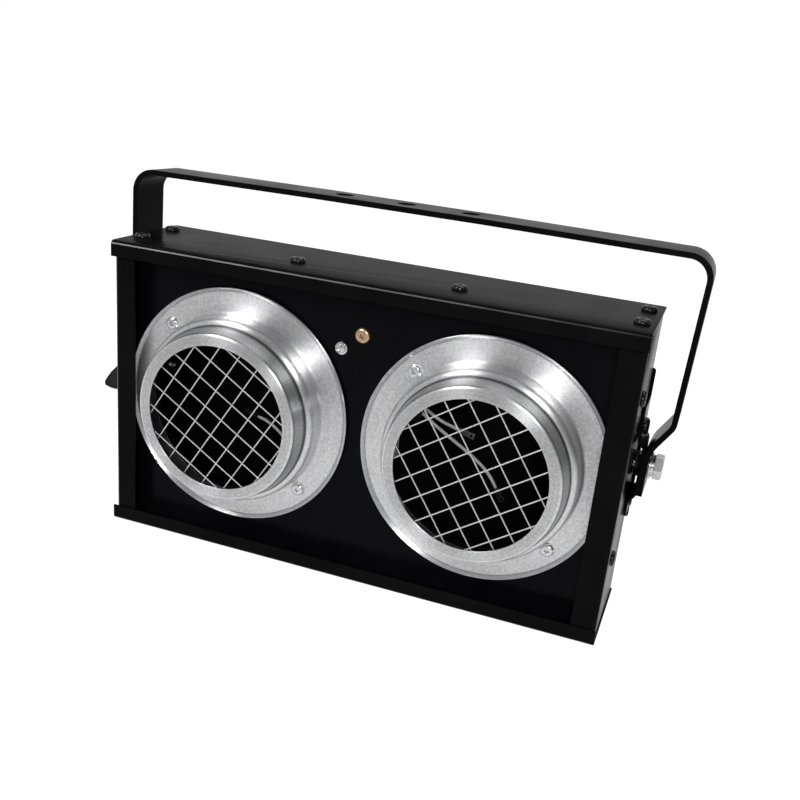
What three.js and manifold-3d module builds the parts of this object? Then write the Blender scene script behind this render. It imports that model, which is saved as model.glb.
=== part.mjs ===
// Audience blinder light: two lamp stations in a folded steel box that tilts in a flat bar yoke.
// Millimetres, +Z up, the lamps face -Y. The origin is the middle of the underside.
import * as THREE from 'three';
import { mergeVertices } from 'three/addons/utils/BufferGeometryUtils.js';
import Module from 'manifold-3d';

// Fits
const clearance = 0.3;
const seatGap = 0.1;
const cutOverrun = 6;

// Folded box
const boxWidth = 400;
const boxDepth = 90;
const boxHeight = 230.6;
const sheet = 1.5;
const coverFold = 2;
const shellFold = 2.75;
const coverOverhang = 1;
const coverLip = 12;
const returnLip = 18;
const endFlange = 18;

// Front panel, set back behind the lips
const panelRecess = 16;
const panelFlange = 28;
const panelHoleRadius = 69;
const rivetX = -15.6;
const rivetDrop = 53.4;
const earthX = 0.5;
const earthDrop = 40.7;

// Spun rings, the heights are in front of the panel
const stationPitch = 197;
const ringSheet = 1.2;
const ringRimRadius = 92.2;
const ringRimHeight = 3.5;
const ringCreaseRadius = 89.4;
const ringWallRadius = 71.2;
const ringShoulderHeight = 18.6;
const ringBarrelRadius = 66.6;
const ringBarrelTaper = 2.7;
const ringHeight = 34.6;
const ringMouthLip = 8.4;
const ringRimFold = 1;
const ringFootFold = 3.4;
const ringShoulderFold = 3.7;
const ringStepFold = 0.8;
const ringMouthFold = 1.6;
const ringScrewRadius = 79.5;

// Wire grilles, each with two families of wires across each other
const grillePitch = 16;
const grilleWire = 1.4;
const grilleLayerGap = 0.05;
const grilleRimWire = 2.4;
const grilleClipWire = 2;
const grilleClipGapDegrees = 24;
const leftGrille = { familyDegrees: [-32, 58.25], familyStart: [1.9, -4.1] };
const rightGrille = { familyDegrees: [33.75, -56.25], familyStart: [-0.5, 7.3] };

// Rear plate and vents, the plate's edges are below and above the pivot
const rearPlateSheet = 1.5;
const rearPlateOverhang = 1.2;
const rearPlateDown = 50.8;
const rearPlateUp = 69.2;
const rearPlateCorner = 2;
const rearScrewInsetX = 13;
const rearScrewInsetZ = 8;
const ventPitch = 18;
const ventWidth = 6;
const ventHeight = 22;
const ventTopInset = 12;
const ventCount = 7;

// Cable gland, left without a cable
const glandX = 0;
const glandZ = 27;
const glandThreadRadius = 9.85;
const glandBoreRadius = 5;
const glandFlats = 24;
const glandFlange = 5;
const glandTail = 7;
const glandNeck = 8;
const domeFlats = 22;
const domeHex = 9;
const domeLength = 19;
const domeWall = 1.6;
const domeRoundShares = [[1, 0.25], [0.866, 0.7]];

// Yoke, the heights are above the pivot and the widths are from the middle of the yoke
const pivotDepth = 76.4;
const yokeTiltDegrees = 1.685;
const yokeBarWidth = 37.4;
const yokeBar = 4.2;
const yokeHeight = 161.5;
const yokeHalfWidth = 223.3;
const yokeLean = 3.2;
const yokeCrank = 15;
const yokeCrankLow = 16;
const yokeCrankHigh = 38.2;
const yokeTail = 18.7;
const yokeCornerFold = 15.9;
const yokeCrankFold = 9;
const yokeHoleRadius = 7;
const yokeHolePitch = 50;
const leftLegGap = 2.1;
const pivotHoleRadius = 5.4;

// Tilt bolt on the right
const boltRadius = 4.85;
const boltFlats = 17;
const boltHead = 6;
const boltTip = 3;
const washerRadius = 10;
const washerThickness = 1.5;
const springWasherRadius = 8.6;
const springWasherThickness = 1.9;
const springWasherGapDegrees = 20;
const tiltNutThickness = 4.1;

// Hat bracket on the right, its places are below and above the pivot
const bracketSheet = 2;
const bracketDepth = 32;
const bracketRise = 4.5;
const bracketDown = 36.3;
const bracketSlopeDown = 24.8;
const bracketWebDown = 18.8;
const bracketWebUp = 18.2;
const bracketSlopeUp = 22.7;
const bracketUp = 48.7;
const bracketFold = 3;
const bracketScrewDepth = 74;
const bracketScrewUp = 30.2;
const bracketRivetDown = 30.8;

// Wing knob on the left, its sizes run out from the leg
const knobLength = 31;
const knobCollarRadius = 12;
const knobCollar = 4;
const knobNeck = 8;
const knobHubRadius = 9;
const knobCap = 3;
const knobCapShare = 0.7;
const knobTipRadius = 32;
const knobWing = 7;
const knobWingRise = 12;
const knobWingShares = [
  [0, 0], [0.31, 0.32], [0.6, 0.78], [0.8, 0.97], [0.9, 1],
  [0.97, 0.88], [1, 0.6], [1, 0], [0.94, -0.3], [0.3, -1.4],
];
const knobDegrees = 56.9;
const knobNutThickness = 5;
const studTip = 9;

// Terminal block, lamp leads and their clips, on the inside of the rear wall
const blockWidth = 24;
const blockHeight = 22;
const blockDepth = 14;
const blockZShare = 0.3686;
const blockPolePitch = 11;
const blockPoleShares = [-0.5, 0.5];
const blockWellShare = 0.25;
const blockWell = 2.6;
const blockWellDepth = 6;
const blockEntry = 2;
const blockEntryDepth = 5;
const blockChamfer = 3;
const leadRadius = 1.4;
const terminalLength = 12;
const terminalWidth = 5;
const terminalThickness = 0.8;
const terminalEye = 1.25;
const clipSheet = 0.8;
const clipWidth = 8;
const clipInner = 13;
const clipFoot = 5;

// Fasteners
const coverScrew = { head: 5.8, dome: 2.8, shank: 2, length: 7 };
const sideScrew = { head: 5.8, dome: 2.4, shank: 2, length: 6 };
const ringScrew = { head: 4.6, dome: 2.6, shank: 1.7, length: 5 };
const earthScrew = { head: 5.2, dome: 3, shank: 2, length: 8 };
const panelRivet = { head: 4.7, dome: 1.2, shank: 1.6, length: 5 };
const rearScrew = { head: 4.6, dome: 2.2, shank: 1.7, length: 6 };
const bracketScrew = { head: 6.3, dome: 3.3, shank: 2.4, length: 8 };
const bracketRivet = { head: 4, dome: 1.2, shank: 2, length: 6 };
const sunkScrew = { head: 4.2, shank: 2, length: 7 };
const coverScrewInset = 10;
const coverScrewFront = 26.5;
const coverScrewRear = 68.5;
const panelScrewX = 62.4;
const panelScrewDepth = 34;
const sideScrewDepth = 28;
const sideScrewDrop = 51.3;
const sideScrewLow = 58;
const ringScrewDegrees = [135, -45];
const screwCrownShares = [0.72, 0.8];

// Smoothness
const wideFold = 2.5;
const broadFold = 12;
const tightFoldSteps = 1;
const wideFoldSteps = 2;
const broadFoldSteps = 5;
const ringSides = 32;
const screwSides = 8;
const washerSides = 16;
const wireSides = 6;
const clipSides = 5;
const clipSteps = 20;
const leadSides = 8;
const leadSteps = 14;
const eyeSteps = 4;

// Places that several pieces share
const frontPlane = -boxDepth / 2;
const rearPlane = boxDepth / 2;
const sideOuter = boxWidth / 2 - coverOverhang;
const sideInner = sideOuter - sheet;
const shellBottom = sheet + clearance;
const shellTop = boxHeight - sheet - clearance;
const panelFace = frontPlane + panelRecess;
const pivotY = frontPlane + pivotDepth;
const pivotZ = boxHeight / 2;
const rivetZ = boxHeight - rivetDrop;
const earthZ = boxHeight - earthDrop;
const sideScrewHigh = boxHeight - sideScrewDrop;
const ringMouthRadius = ringBarrelRadius - ringBarrelTaper;
const ringOpeningRadius = ringMouthRadius - ringMouthLip;
const rearPlateBottom = pivotZ - rearPlateDown;
const rearPlateTop = pivotZ + rearPlateUp;
const bracketScrewZ = pivotZ + bracketScrewUp;
const bracketRivetZ = pivotZ - bracketRivetDown;
const stationX = stationPitch / 2;
const rearWallInner = rearPlane - sheet;
const rearPlateFace = rearPlane + clearance;
const bracketFoot = sideOuter + clearance;
const bracketWeb = bracketFoot + bracketRise + bracketSheet;
const legInner = yokeHalfWidth - yokeCrank - yokeBar;
const rightLegInner = bracketWeb + clearance;
const leftLegInner = -boxWidth / 2 - leftLegGap;
const yokeX = (rightLegInner + leftLegInner) / 2;
const legSpread = (rightLegInner - leftLegInner) / 2 - legInner;
const leadLine = rearWallInner - clearance - leadRadius;
const blockZ = blockZShare * boxHeight;

const axisX = new THREE.Vector3(1, 0, 0);
const axisY = new THREE.Vector3(0, 1, 0);
const axisZ = new THREE.Vector3(0, 0, 1);
const forward = axisY.clone().negate();
const down = axisZ.clone().negate();
const leftward = axisX.clone().negate();

const finishes = {
  blackCoat: { color: 0x17181a, roughness: 0.42, metalness: 0.25 },
  innerCoat: { color: 0x141416, roughness: 0.35, metalness: 0.25 },
  spunAluminium: { color: 0xc9cacb, roughness: 0.34, metalness: 0.95 },
  whiteWire: { color: 0xdedede, roughness: 0.4, metalness: 0.35 },
  zincSteel: { color: 0xb9bbbd, roughness: 0.35, metalness: 0.9 },
  blackSteel: { color: 0x1c1c1e, roughness: 0.3, metalness: 0.6 },
  brass: { color: 0xb5803f, roughness: 0.35, metalness: 0.9 },
  blackPlastic: { color: 0x151517, roughness: 0.5, metalness: 0 },
  ceramic: { color: 0xe6e2d8, roughness: 0.55, metalness: 0 },
  sleeve: { color: 0xdcdad2, roughness: 0.75, metalness: 0 },
};

const wasm = await Module();
wasm.setup();
const blinder = new THREE.Group();

function addPiece(name, geometry, finish, parent = blinder) {
  const mesh = new THREE.Mesh(geometry, new THREE.MeshStandardMaterial(finishes[finish]));
  mesh.name = name;
  parent.add(mesh);
  return mesh;
}

// Joins and cuts
function toSolid(geometry) {
  const bare = geometry.clone();
  bare.deleteAttribute('normal');
  bare.deleteAttribute('uv');
  const merged = mergeVertices(bare);
  return new wasm.Manifold(new wasm.Mesh({
    numProp: 3,
    vertProperties: new Float32Array(merged.attributes.position.array),
    triVerts: new Uint32Array(merged.index.array),
  }));
}

function toGeometry(solid) {
  const mesh = solid.getMesh();
  const geometry = new THREE.BufferGeometry();
  geometry.setAttribute('position', new THREE.BufferAttribute(new Float32Array(mesh.vertProperties), 3));
  geometry.setIndex(new THREE.BufferAttribute(new Uint32Array(mesh.triVerts), 1));
  geometry.computeVertexNormals();
  return geometry;
}

function join(...geometries) {
  return toGeometry(geometries.map(toSolid).reduce((whole, next) => whole.add(next)));
}

function cut(geometry, ...tools) {
  return toGeometry(tools.map(toSolid).reduce((whole, tool) => whole.subtract(tool), toSolid(geometry)));
}

// Flat outlines pushed along an axis, centred on it where no start is given
function alongX(shape, length, start = -length / 2, curveSegments = 1) {
  const geometry = new THREE.ExtrudeGeometry(shape, { depth: length, bevelEnabled: false, curveSegments });
  geometry.translate(0, 0, start);
  return geometry.applyMatrix4(new THREE.Matrix4().makeBasis(axisY, axisZ, axisX));
}

function alongY(shape, length, start = -length / 2, curveSegments = 1) {
  const geometry = new THREE.ExtrudeGeometry(shape, { depth: length, bevelEnabled: false, curveSegments });
  geometry.translate(0, 0, -start - length);
  return geometry.applyMatrix4(new THREE.Matrix4().makeBasis(axisX, axisZ, forward));
}

function alongZ(shape, length, start = -length / 2, curveSegments = 1) {
  const geometry = new THREE.ExtrudeGeometry(shape, { depth: length, bevelEnabled: false, curveSegments });
  return geometry.translate(0, 0, start);
}

function foldSteps(radius) {
  if (radius > broadFold) {
    return broadFoldSteps;
  }
  return radius > wideFold ? wideFoldSteps : tightFoldSteps;
}

// A strip of even thickness folded along its middle line; a corner is [u, v] or [u, v, middle radius]
function foldedOutline(corners, thickness) {
  const last = corners.length - 1;
  const line = [];
  corners.forEach(([u, v, radius], index) => {
    const corner = new THREE.Vector2(u, v);
    const before = new THREE.Vector2(...corners[Math.max(index - 1, 0)].slice(0, 2));
    const after = new THREE.Vector2(...corners[Math.min(index + 1, last)].slice(0, 2));
    const arriving = corner.clone().sub(before).normalize();
    const leaving = after.clone().sub(corner).normalize();
    if (index === 0 || index === last) {
      line.push({ point: corner, heading: index === 0 ? leaving : arriving });
      return;
    }
    const turn = Math.atan2(arriving.cross(leaving), arriving.dot(leaving));
    const setback = radius * Math.tan(Math.abs(turn) / 2);
    const start = corner.clone().addScaledVector(arriving, -setback);
    const side = new THREE.Vector2(-arriving.y, arriving.x).multiplyScalar(Math.sign(turn));
    const centre = start.clone().addScaledVector(side, radius);
    const steps = foldSteps(radius);
    for (let step = 0; step <= steps; step += 1) {
      const swing = (turn * step) / steps;
      const heading = arriving.clone().rotateAround(new THREE.Vector2(), swing);
      const point = start.clone().rotateAround(centre, swing);
      line.push({ point, heading });
    }
  });
  const edge = (sign) => line.map(({ point, heading }) => new THREE.Vector2(
    point.x - (sign * heading.y * thickness) / 2,
    point.y + (sign * heading.x * thickness) / 2,
  ));
  return [...edge(-1), ...edge(1).reverse()];
}

function foldedStrip(corners, thickness) {
  return new THREE.Shape(foldedOutline(corners, thickness));
}

function rectangle(uLow, vLow, uHigh, vHigh) {
  return new THREE.Shape([
    new THREE.Vector2(uLow, vLow),
    new THREE.Vector2(uHigh, vLow),
    new THREE.Vector2(uHigh, vHigh),
    new THREE.Vector2(uLow, vHigh),
  ]);
}

function roundedRectangle(uLow, vLow, uHigh, vHigh, radius) {
  const shape = new THREE.Shape();
  shape.absarc(uHigh - radius, vLow + radius, radius, -Math.PI / 2, 0);
  shape.absarc(uHigh - radius, vHigh - radius, radius, 0, Math.PI / 2);
  shape.absarc(uLow + radius, vHigh - radius, radius, Math.PI / 2, Math.PI);
  shape.absarc(uLow + radius, vLow + radius, radius, Math.PI, 1.5 * Math.PI);
  return shape;
}

// Round, hexagonal and turned pieces on their own +Y axis
function rod(radius, length, sides = screwSides, start = 0) {
  return new THREE.CylinderGeometry(radius, radius, length, sides).translate(0, start + length / 2, 0);
}

function hexagon(flats, length, start = 0) {
  return rod(flats / 2 / Math.cos(Math.PI / 6), length, 6, start);
}

function turned(profile, sides) {
  const points = profile.map(([radius, height]) => new THREE.Vector2(radius, height));
  return new THREE.LatheGeometry(points, sides);
}

function washer(innerRadius, outerRadius, thickness, sides = washerSides) {
  return turned([
    [innerRadius, 0], [outerRadius, 0], [outerRadius, thickness], [innerRadius, thickness], [innerRadius, 0],
  ], sides);
}

// A cutter through both sides of a seat
function drill(place, direction, radius, sides = screwSides) {
  const tool = new THREE.CylinderGeometry(radius, radius, 2 * cutOverrun, sides);
  tool.applyQuaternion(new THREE.Quaternion().setFromUnitVectors(axisY, direction));
  return tool.translate(...place);
}

function aim(mesh, place, direction) {
  mesh.position.set(...place);
  mesh.quaternion.setFromUnitVectors(axisY, direction);
}

// Domed head on a plain shank, the underside of the head is at height zero
function domedScrew({ head, dome, shank, length }) {
  const [widthShare, heightShare] = screwCrownShares;
  return turned([
    [0, -length], [shank, -length], [shank, 0], [head, 0],
    [head * widthShare, dome * heightShare], [0, dome],
  ], screwSides);
}

function countersunkScrew({ head, shank, length }) {
  const cone = sheet - seatGap;
  return turned([[0, -length], [shank, -length], [shank, -cone], [head, 0], [0, 0]], screwSides);
}

// Seats of the screws, as [x, y, z] on the outer face of the outermost sheet
const sides = [['left', -1], ['right', 1]];
const coverCornerSeats = sides.flatMap(([side, sign]) => [
  [`${side}_front`, sign * (boxWidth / 2 - coverScrewInset), frontPlane + coverScrewFront],
  [`${side}_rear`, sign * (boxWidth / 2 - coverScrewInset), frontPlane + coverScrewRear],
]);
const coverMiddleSeats = sides.map(([side, sign]) => [
  `${side}_middle`, sign * panelScrewX, frontPlane + panelScrewDepth,
]);
const sideSeats = sides.flatMap(([side, sign]) => [
  [`${side}_upper`, sign, [sign * sideOuter, frontPlane + sideScrewDepth, sideScrewHigh]],
  [`${side}_lower`, sign, [sign * sideOuter, frontPlane + sideScrewDepth, sideScrewLow]],
]);
const ringSeats = sides.flatMap(([side, sign]) => ringScrewDegrees.map((degrees, index) => {
  const angle = THREE.MathUtils.degToRad(degrees);
  const place = [
    sign * stationX + ringScrewRadius * Math.cos(angle),
    panelFace,
    pivotZ + ringScrewRadius * Math.sin(angle),
  ];
  return [`${side}_${index === 0 ? 'upper' : 'lower'}`, place];
}));
const rearSeats = sides.flatMap(([side, sign]) => [
  [`${side}_upper`, [sign * (sideOuter - rearScrewInsetX), rearPlane, rearPlateTop - rearScrewInsetZ]],
  [`${side}_lower`, [sign * (sideOuter - rearScrewInsetX), rearPlane, rearPlateBottom + rearScrewInsetZ]],
]);
const bracketY = frontPlane + bracketScrewDepth;
const bracketScrewPlace = [bracketFoot + bracketSheet, bracketY, bracketScrewZ];
const bracketRivetPlace = [bracketFoot + bracketSheet, bracketY, bracketRivetZ];
const rightPivot = [sideOuter, pivotY, pivotZ];
const leftPivot = [-sideOuter, pivotY, pivotZ];

// Covers: a flat sheet with a lip folded down over the front
function coverSheet() {
  const middleFold = coverFold - sheet / 2;
  return alongX(foldedStrip([
    [frontPlane + sheet / 2, -coverLip],
    [frontPlane + sheet / 2, -sheet / 2, middleFold],
    [rearPlane, -sheet / 2],
  ], sheet), boxWidth);
}

function topCover() {
  const holes = [...coverCornerSeats, ...coverMiddleSeats].map(
    ([, x, y]) => drill([x, y, boxHeight], axisZ, coverScrew.shank + clearance),
  );
  return cut(coverSheet().translate(0, 0, boxHeight), ...holes);
}

function bottomCover() {
  const mirrored = coverSheet().rotateX(Math.PI).rotateZ(Math.PI);
  const sinks = coverCornerSeats.map(([, x, y]) => {
    const low = sunkScrew.head + clearance + cutOverrun;
    const high = sunkScrew.shank + clearance;
    const slope = (sunkScrew.head - sunkScrew.shank) / sheet;
    const rise = (low - high) / slope;
    const tool = new THREE.CylinderGeometry(high, low, rise, screwSides);
    tool.applyQuaternion(new THREE.Quaternion().setFromUnitVectors(axisY, axisZ));
    return tool.translate(x, y, sheet + clearance - rise / 2);
  });
  return cut(mirrored, ...sinks);
}

// Shell: side walls, rear wall, front return lips and the flanges that the covers screw to
function bodyShell() {
  const wall = sideOuter - sheet / 2;
  const front = frontPlane + coverFold + clearance + sheet / 2;
  const rear = rearPlane - sheet / 2;
  const middleFold = shellFold - sheet / 2;
  const lipEnd = sideOuter - returnLip;
  const walls = alongZ(foldedStrip([
    [-lipEnd, front], [-wall, front, middleFold], [-wall, rear, middleFold],
    [wall, rear, middleFold], [wall, front, middleFold], [lipEnd, front],
  ], sheet), shellTop - shellBottom, shellBottom);
  const flanges = sides.flatMap(([, sign]) => [shellBottom, shellTop - sheet].map((z) => {
    const inner = sign * (sideOuter - endFlange);
    const outer = sign * (sideInner + sheet / 2);
    const outline = rectangle(Math.min(inner, outer), front, Math.max(inner, outer), rear);
    return alongZ(outline, sheet, z);
  }));
  const coverHoles = coverCornerSeats.flatMap(([, x, y]) => [
    drill([x, y, shellTop], axisZ, coverScrew.shank + clearance),
    drill([x, y, shellBottom], axisZ, sunkScrew.shank + clearance),
  ]);
  const sideHoles = sideSeats.map(([, , place]) => drill(place, axisX, sideScrew.shank + clearance));
  const rearHoles = rearSeats.map(([, place]) => drill(place, axisY, rearScrew.shank + clearance));
  const bracketHoles = [
    drill([sideOuter, bracketY, bracketScrewZ], axisX, bracketScrew.shank + clearance),
    drill([sideOuter, bracketY, bracketRivetZ], axisX, bracketRivet.shank + clearance),
  ];
  return cut(
    join(walls, ...flanges),
    ...coverHoles, ...sideHoles, ...rearHoles, ...bracketHoles, ...ventCutters(),
    drill(rightPivot, axisX, pivotHoleRadius + clearance),
    drill(leftPivot, axisX, pivotHoleRadius + clearance),
    drill([glandX, rearPlane, glandZ], axisY, glandThreadRadius + clearance, washerSides),
  );
}

// Upright slots above each lamp, through the rear wall over the rear plate
function ventCutters() {
  const ventZ = shellTop - ventTopInset - ventHeight / 2;
  const half = ventWidth / 2;
  const slot = roundedRectangle(-half, -ventHeight / 2, half, ventHeight / 2, half);
  return sides.flatMap(([, sign]) => Array.from({ length: ventCount }, (_, index) => {
    const x = sign * stationX + (index - (ventCount - 1) / 2) * ventPitch;
    return alongY(slot, 2 * cutOverrun).translate(x, rearPlane, ventZ);
  }));
}

// Front panel: a tray whose four flanges turn back into the box
function frontPanel() {
  const face = panelFace + sheet / 2;
  const back = panelFace + panelFlange;
  const middleFold = shellFold - sheet / 2;
  const sideWall = sideInner - clearance - sheet / 2;
  const tall = shellTop - shellBottom - 2 * (sheet + clearance);
  const high = shellTop - sheet / 2;
  const low = shellBottom + sheet / 2;
  const acrossStrip = alongZ(foldedStrip([
    [-sideWall, back], [-sideWall, face, middleFold], [sideWall, face, middleFold], [sideWall, back],
  ], sheet), tall, shellBottom + sheet + clearance);
  const upStrip = alongX(foldedStrip([
    [back, low], [face, low, middleFold], [face, high, middleFold], [back, high],
  ], sheet), 2 * (sideOuter - endFlange - clearance));
  const stationHoles = sides.map(([, sign]) => drill(
    [sign * stationX, panelFace, pivotZ], axisY, panelHoleRadius, ringSides,
  ));
  return cut(
    join(acrossStrip, upStrip),
    ...stationHoles,
    ...coverMiddleSeats.map(([, x, y]) => drill([x, y, shellTop], axisZ, coverScrew.shank + clearance)),
    ...sideSeats.map(([, , place]) => drill(place, axisX, sideScrew.shank + clearance)),
    ...ringSeats.map(([, place]) => drill(place, axisY, ringScrew.shank + clearance)),
    drill([rivetX, panelFace, rivetZ], axisY, panelRivet.shank + clearance),
    drill([earthX, panelFace, earthZ], axisY, earthScrew.shank + clearance),
  );
}

// Rear plate: a flat sheet a little wider than the box
function rearPlate() {
  const reach = boxWidth / 2 + rearPlateOverhang;
  const outline = roundedRectangle(-reach, rearPlateBottom, reach, rearPlateTop, rearPlateCorner);
  const holes = rearSeats.map(([, place]) => drill(place, axisY, rearScrew.shank + clearance));
  return cut(alongY(outline, rearPlateSheet, rearPlateFace), ...holes);
}

// Spun ring: flange, rounded foot, wall, rounded shoulder, tapered barrel and a flat mouth
function ringProfile() {
  const flange = clearance + ringSheet / 2;
  const mouth = ringHeight - ringSheet / 2;
  const outline = foldedOutline([
    [ringRimRadius, ringRimHeight],
    [ringCreaseRadius, flange, ringRimFold],
    [ringWallRadius, flange, ringFootFold],
    [ringWallRadius, ringShoulderHeight, ringShoulderFold],
    [ringBarrelRadius, ringShoulderHeight, ringStepFold],
    [ringMouthRadius, mouth, ringMouthFold],
    [ringOpeningRadius, mouth],
  ], ringSheet);
  return [...outline, outline[0]].map(({ x, y }) => [x, y]);
}

function spunRing(sign) {
  const ring = turned(ringProfile(), ringSides).rotateX(Math.PI);
  const holes = ringScrewDegrees.map((degrees) => {
    const angle = THREE.MathUtils.degToRad(degrees);
    const place = [ringScrewRadius * Math.cos(angle), 0, ringScrewRadius * Math.sin(angle)];
    return drill(place, axisY, ringScrew.shank + clearance);
  });
  return cut(ring, ...holes).translate(sign * stationX, panelFace, pivotZ);
}

// Radius of the middle of the barrel's sheet at a height in front of the panel
function barrelRadius(height) {
  const taperShare = (height - ringShoulderHeight) / (ringHeight - ringSheet / 2 - ringShoulderHeight);
  return ringBarrelRadius + (ringMouthRadius - ringBarrelRadius) * taperShare;
}

const grilleHeight = ringHeight - ringSheet - clearance - grilleRimWire / 2;
const grilleRimRadius = barrelRadius(ringHeight) - ringSheet / 2 - clearance - grilleRimWire / 2;

// Grille: a round rim wire with two layers of straight wires, each welded to it at both ends
function wireGrille({ familyDegrees, familyStart }) {
  const rim = new THREE.TorusGeometry(grilleRimRadius, grilleRimWire / 2, wireSides, ringSides);
  rim.rotateX(Math.PI / 2);
  const wires = familyDegrees.flatMap((degrees, layer) => {
    const angle = THREE.MathUtils.degToRad(degrees);
    const depth = ((layer === 0 ? -1 : 1) * (grilleWire + grilleLayerGap)) / 2;
    const rows = Math.ceil(grilleRimRadius / grillePitch);
    const offsets = Array.from(
      { length: 2 * rows + 1 },
      (_, row) => (row - rows) * grillePitch + familyStart[layer],
    );
    const reached = offsets.filter((offset) => Math.abs(offset) < grilleRimRadius - grilleRimWire);
    return reached.map((offset) => {
      const halfChord = Math.sqrt(grilleRimRadius ** 2 - offset ** 2);
      const wire = rod(grilleWire / 2, 2 * halfChord, wireSides, -halfChord);
      wire.rotateZ(-Math.PI / 2).translate(0, depth, offset);
      return wire.rotateY(-angle);
    });
  });
  return join(rim, ...wires);
}

// A round bar along a path of points
function bar(points, radius, barSides, steps) {
  const section = new THREE.Shape(Array.from({ length: barSides }, (_, index) => {
    const angle = (2 * Math.PI * index) / barSides;
    return new THREE.Vector2(radius * Math.cos(angle), radius * Math.sin(angle));
  }));
  const extrudePath = new THREE.CatmullRomCurve3(points);
  return new THREE.ExtrudeGeometry(section, { steps, bevelEnabled: false, extrudePath });
}

// Snap ring: an open wire ring sprung into the barrel behind the grille
function grilleClip() {
  const height = grilleHeight - grilleRimWire / 2 - clearance - grilleClipWire / 2;
  const radius = barrelRadius(height + grilleClipWire / 2) - ringSheet / 2 - clearance - grilleClipWire / 2;
  const gap = THREE.MathUtils.degToRad(grilleClipGapDegrees);
  const points = Array.from({ length: clipSteps + 1 }, (_, index) => {
    const angle = -Math.PI / 2 + gap / 2 + ((2 * Math.PI - gap) * index) / clipSteps;
    return new THREE.Vector3(radius * Math.cos(angle), -height, radius * Math.sin(angle));
  });
  return bar(points, grilleClipWire / 2, clipSides, clipSteps);
}

// Yoke: one flat bar, cranked at each leg and folded over the top a little off square, drawn about the pivot
function yokeBarPiece() {
  const inner = legInner + yokeBar / 2 + legSpread;
  const outer = yokeHalfWidth - yokeBar / 2 + legSpread;
  const top = yokeHeight - yokeBar / 2;
  const legs = sides.map(([, sign]) => [
    [sign * outer + yokeLean, top, yokeCornerFold], [sign * outer, yokeCrankHigh, yokeCrankFold],
    [sign * inner, yokeCrankLow, yokeCrankFold], [sign * inner, -yokeTail],
  ]);
  const strip = alongY(foldedStrip([...legs[0].reverse(), ...legs[1]], yokeBar), yokeBarWidth);
  const clampHoles = [-1, 0, 1].map((place) => drill(
    [place * yokeHolePitch, 0, yokeHeight], axisZ, yokeHoleRadius, washerSides,
  ));
  const pivotHoles = [-inner, inner].map((x) => drill([x, 0, 0], axisX, pivotHoleRadius, washerSides));
  return cut(strip, ...clampHoles, ...pivotHoles);
}

// A hat strip: two feet on a wall with a raised web between them, as [along, away] from the wall
function hatStrip([low, lowSlope, webLow, webHigh, highSlope, high], rise, thickness, radius) {
  const foot = thickness / 2;
  const web = foot + rise;
  return [[low, foot], [lowSlope, foot, radius], [webLow, web, radius],
    [webHigh, web, radius], [highSlope, foot, radius], [high, foot]];
}

function hatBracket() {
  const places = [
    -bracketDown, -bracketSlopeDown, -bracketWebDown, bracketWebUp, bracketSlopeUp, bracketUp,
  ].map((along) => pivotZ + along);
  const corners = hatStrip(places, bracketRise, bracketSheet, bracketFold);
  const placed = corners.map(([z, away, radius]) => [bracketFoot + away, z, radius]);
  const strip = foldedStrip(placed, bracketSheet);
  return cut(
    alongY(strip, bracketDepth, rearPlane - bracketDepth),
    drill([bracketWeb, pivotY, pivotZ], axisX, pivotHoleRadius, washerSides),
    drill(bracketScrewPlace, axisX, bracketScrew.shank + clearance),
    drill(bracketRivetPlace, axisX, bracketRivet.shank + clearance),
  );
}

// Tilt bolt and its washers, drawn outwards from the pivot's leg
function tiltBolt(shankLength) {
  const shank = rod(boltRadius, shankLength + seatGap, washerSides, -shankLength);
  return join(hexagon(boltFlats, boltHead), shank);
}

function springWasher() {
  const gap = THREE.MathUtils.degToRad(springWasherGapDegrees) / 2;
  const shape = new THREE.Shape();
  shape.absarc(0, 0, springWasherRadius, gap, 2 * Math.PI - gap, false);
  shape.absarc(0, 0, pivotHoleRadius, 2 * Math.PI - gap, gap, true);
  return alongY(shape, springWasherThickness, 0, washerSides / 2);
}

function hexNut(thickness) {
  return cut(hexagon(boltFlats, thickness), drill([0, 0, 0], axisY, boltRadius + clearance, washerSides));
}

// Wing knob: a hub with a collar on the leg, two rounded wings and the clamping stud
function wingKnob(studLength) {
  const hub = turned([
    [0, 0], [knobCollarRadius, 0], [knobCollarRadius, knobCollar],
    [knobHubRadius, knobNeck], [knobHubRadius, knobLength - knobCap],
    [knobHubRadius * knobCapShare, knobLength], [0, knobLength],
  ], washerSides);
  const mirroredShares = knobWingShares.slice(1).map(([across, rise]) => [-across, rise]).reverse();
  const outline = [...knobWingShares, ...mirroredShares].map(
    ([across, rise]) => new THREE.Vector2(across * knobTipRadius, knobLength + rise * knobWingRise),
  );
  const wings = alongZ(new THREE.Shape(outline), knobWing);
  const stud = rod(boltRadius, studLength + knobCollar, washerSides, -studLength);
  return join(hub, wings, stud);
}

// Cable gland body: tail through the rear wall, hexagonal flange and threaded neck
function glandBody() {
  const solid = join(
    hexagon(glandFlats, glandFlange),
    rod(glandThreadRadius, glandTail + glandFlange + glandNeck, washerSides, -glandTail),
  );
  const bore = rod(glandBoreRadius, glandTail + glandFlange + glandNeck + 2 * cutOverrun, washerSides,
    -glandTail - cutOverrun);
  return cut(solid, bore);
}

function glandNut() {
  const crown = domeLength - domeHex;
  const round = domeFlats / 2;
  const shoulder = domeRoundShares.map(([across, rise]) => [round * across, domeHex + crown * rise]);
  const dome = turned([
    [0, 0], [round, 0], ...shoulder, [glandBoreRadius + domeWall, domeLength], [0, domeLength],
  ], washerSides);
  const room = glandNeck + clearance + cutOverrun;
  const neckRoom = rod(glandThreadRadius + clearance, room, washerSides, -cutOverrun);
  const mouth = rod(glandBoreRadius, domeLength + 2 * cutOverrun, washerSides, -cutOverrun);
  return cut(join(hexagon(domeFlats + domeWall, domeHex), dome), neckRoom, mouth);
}

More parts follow.
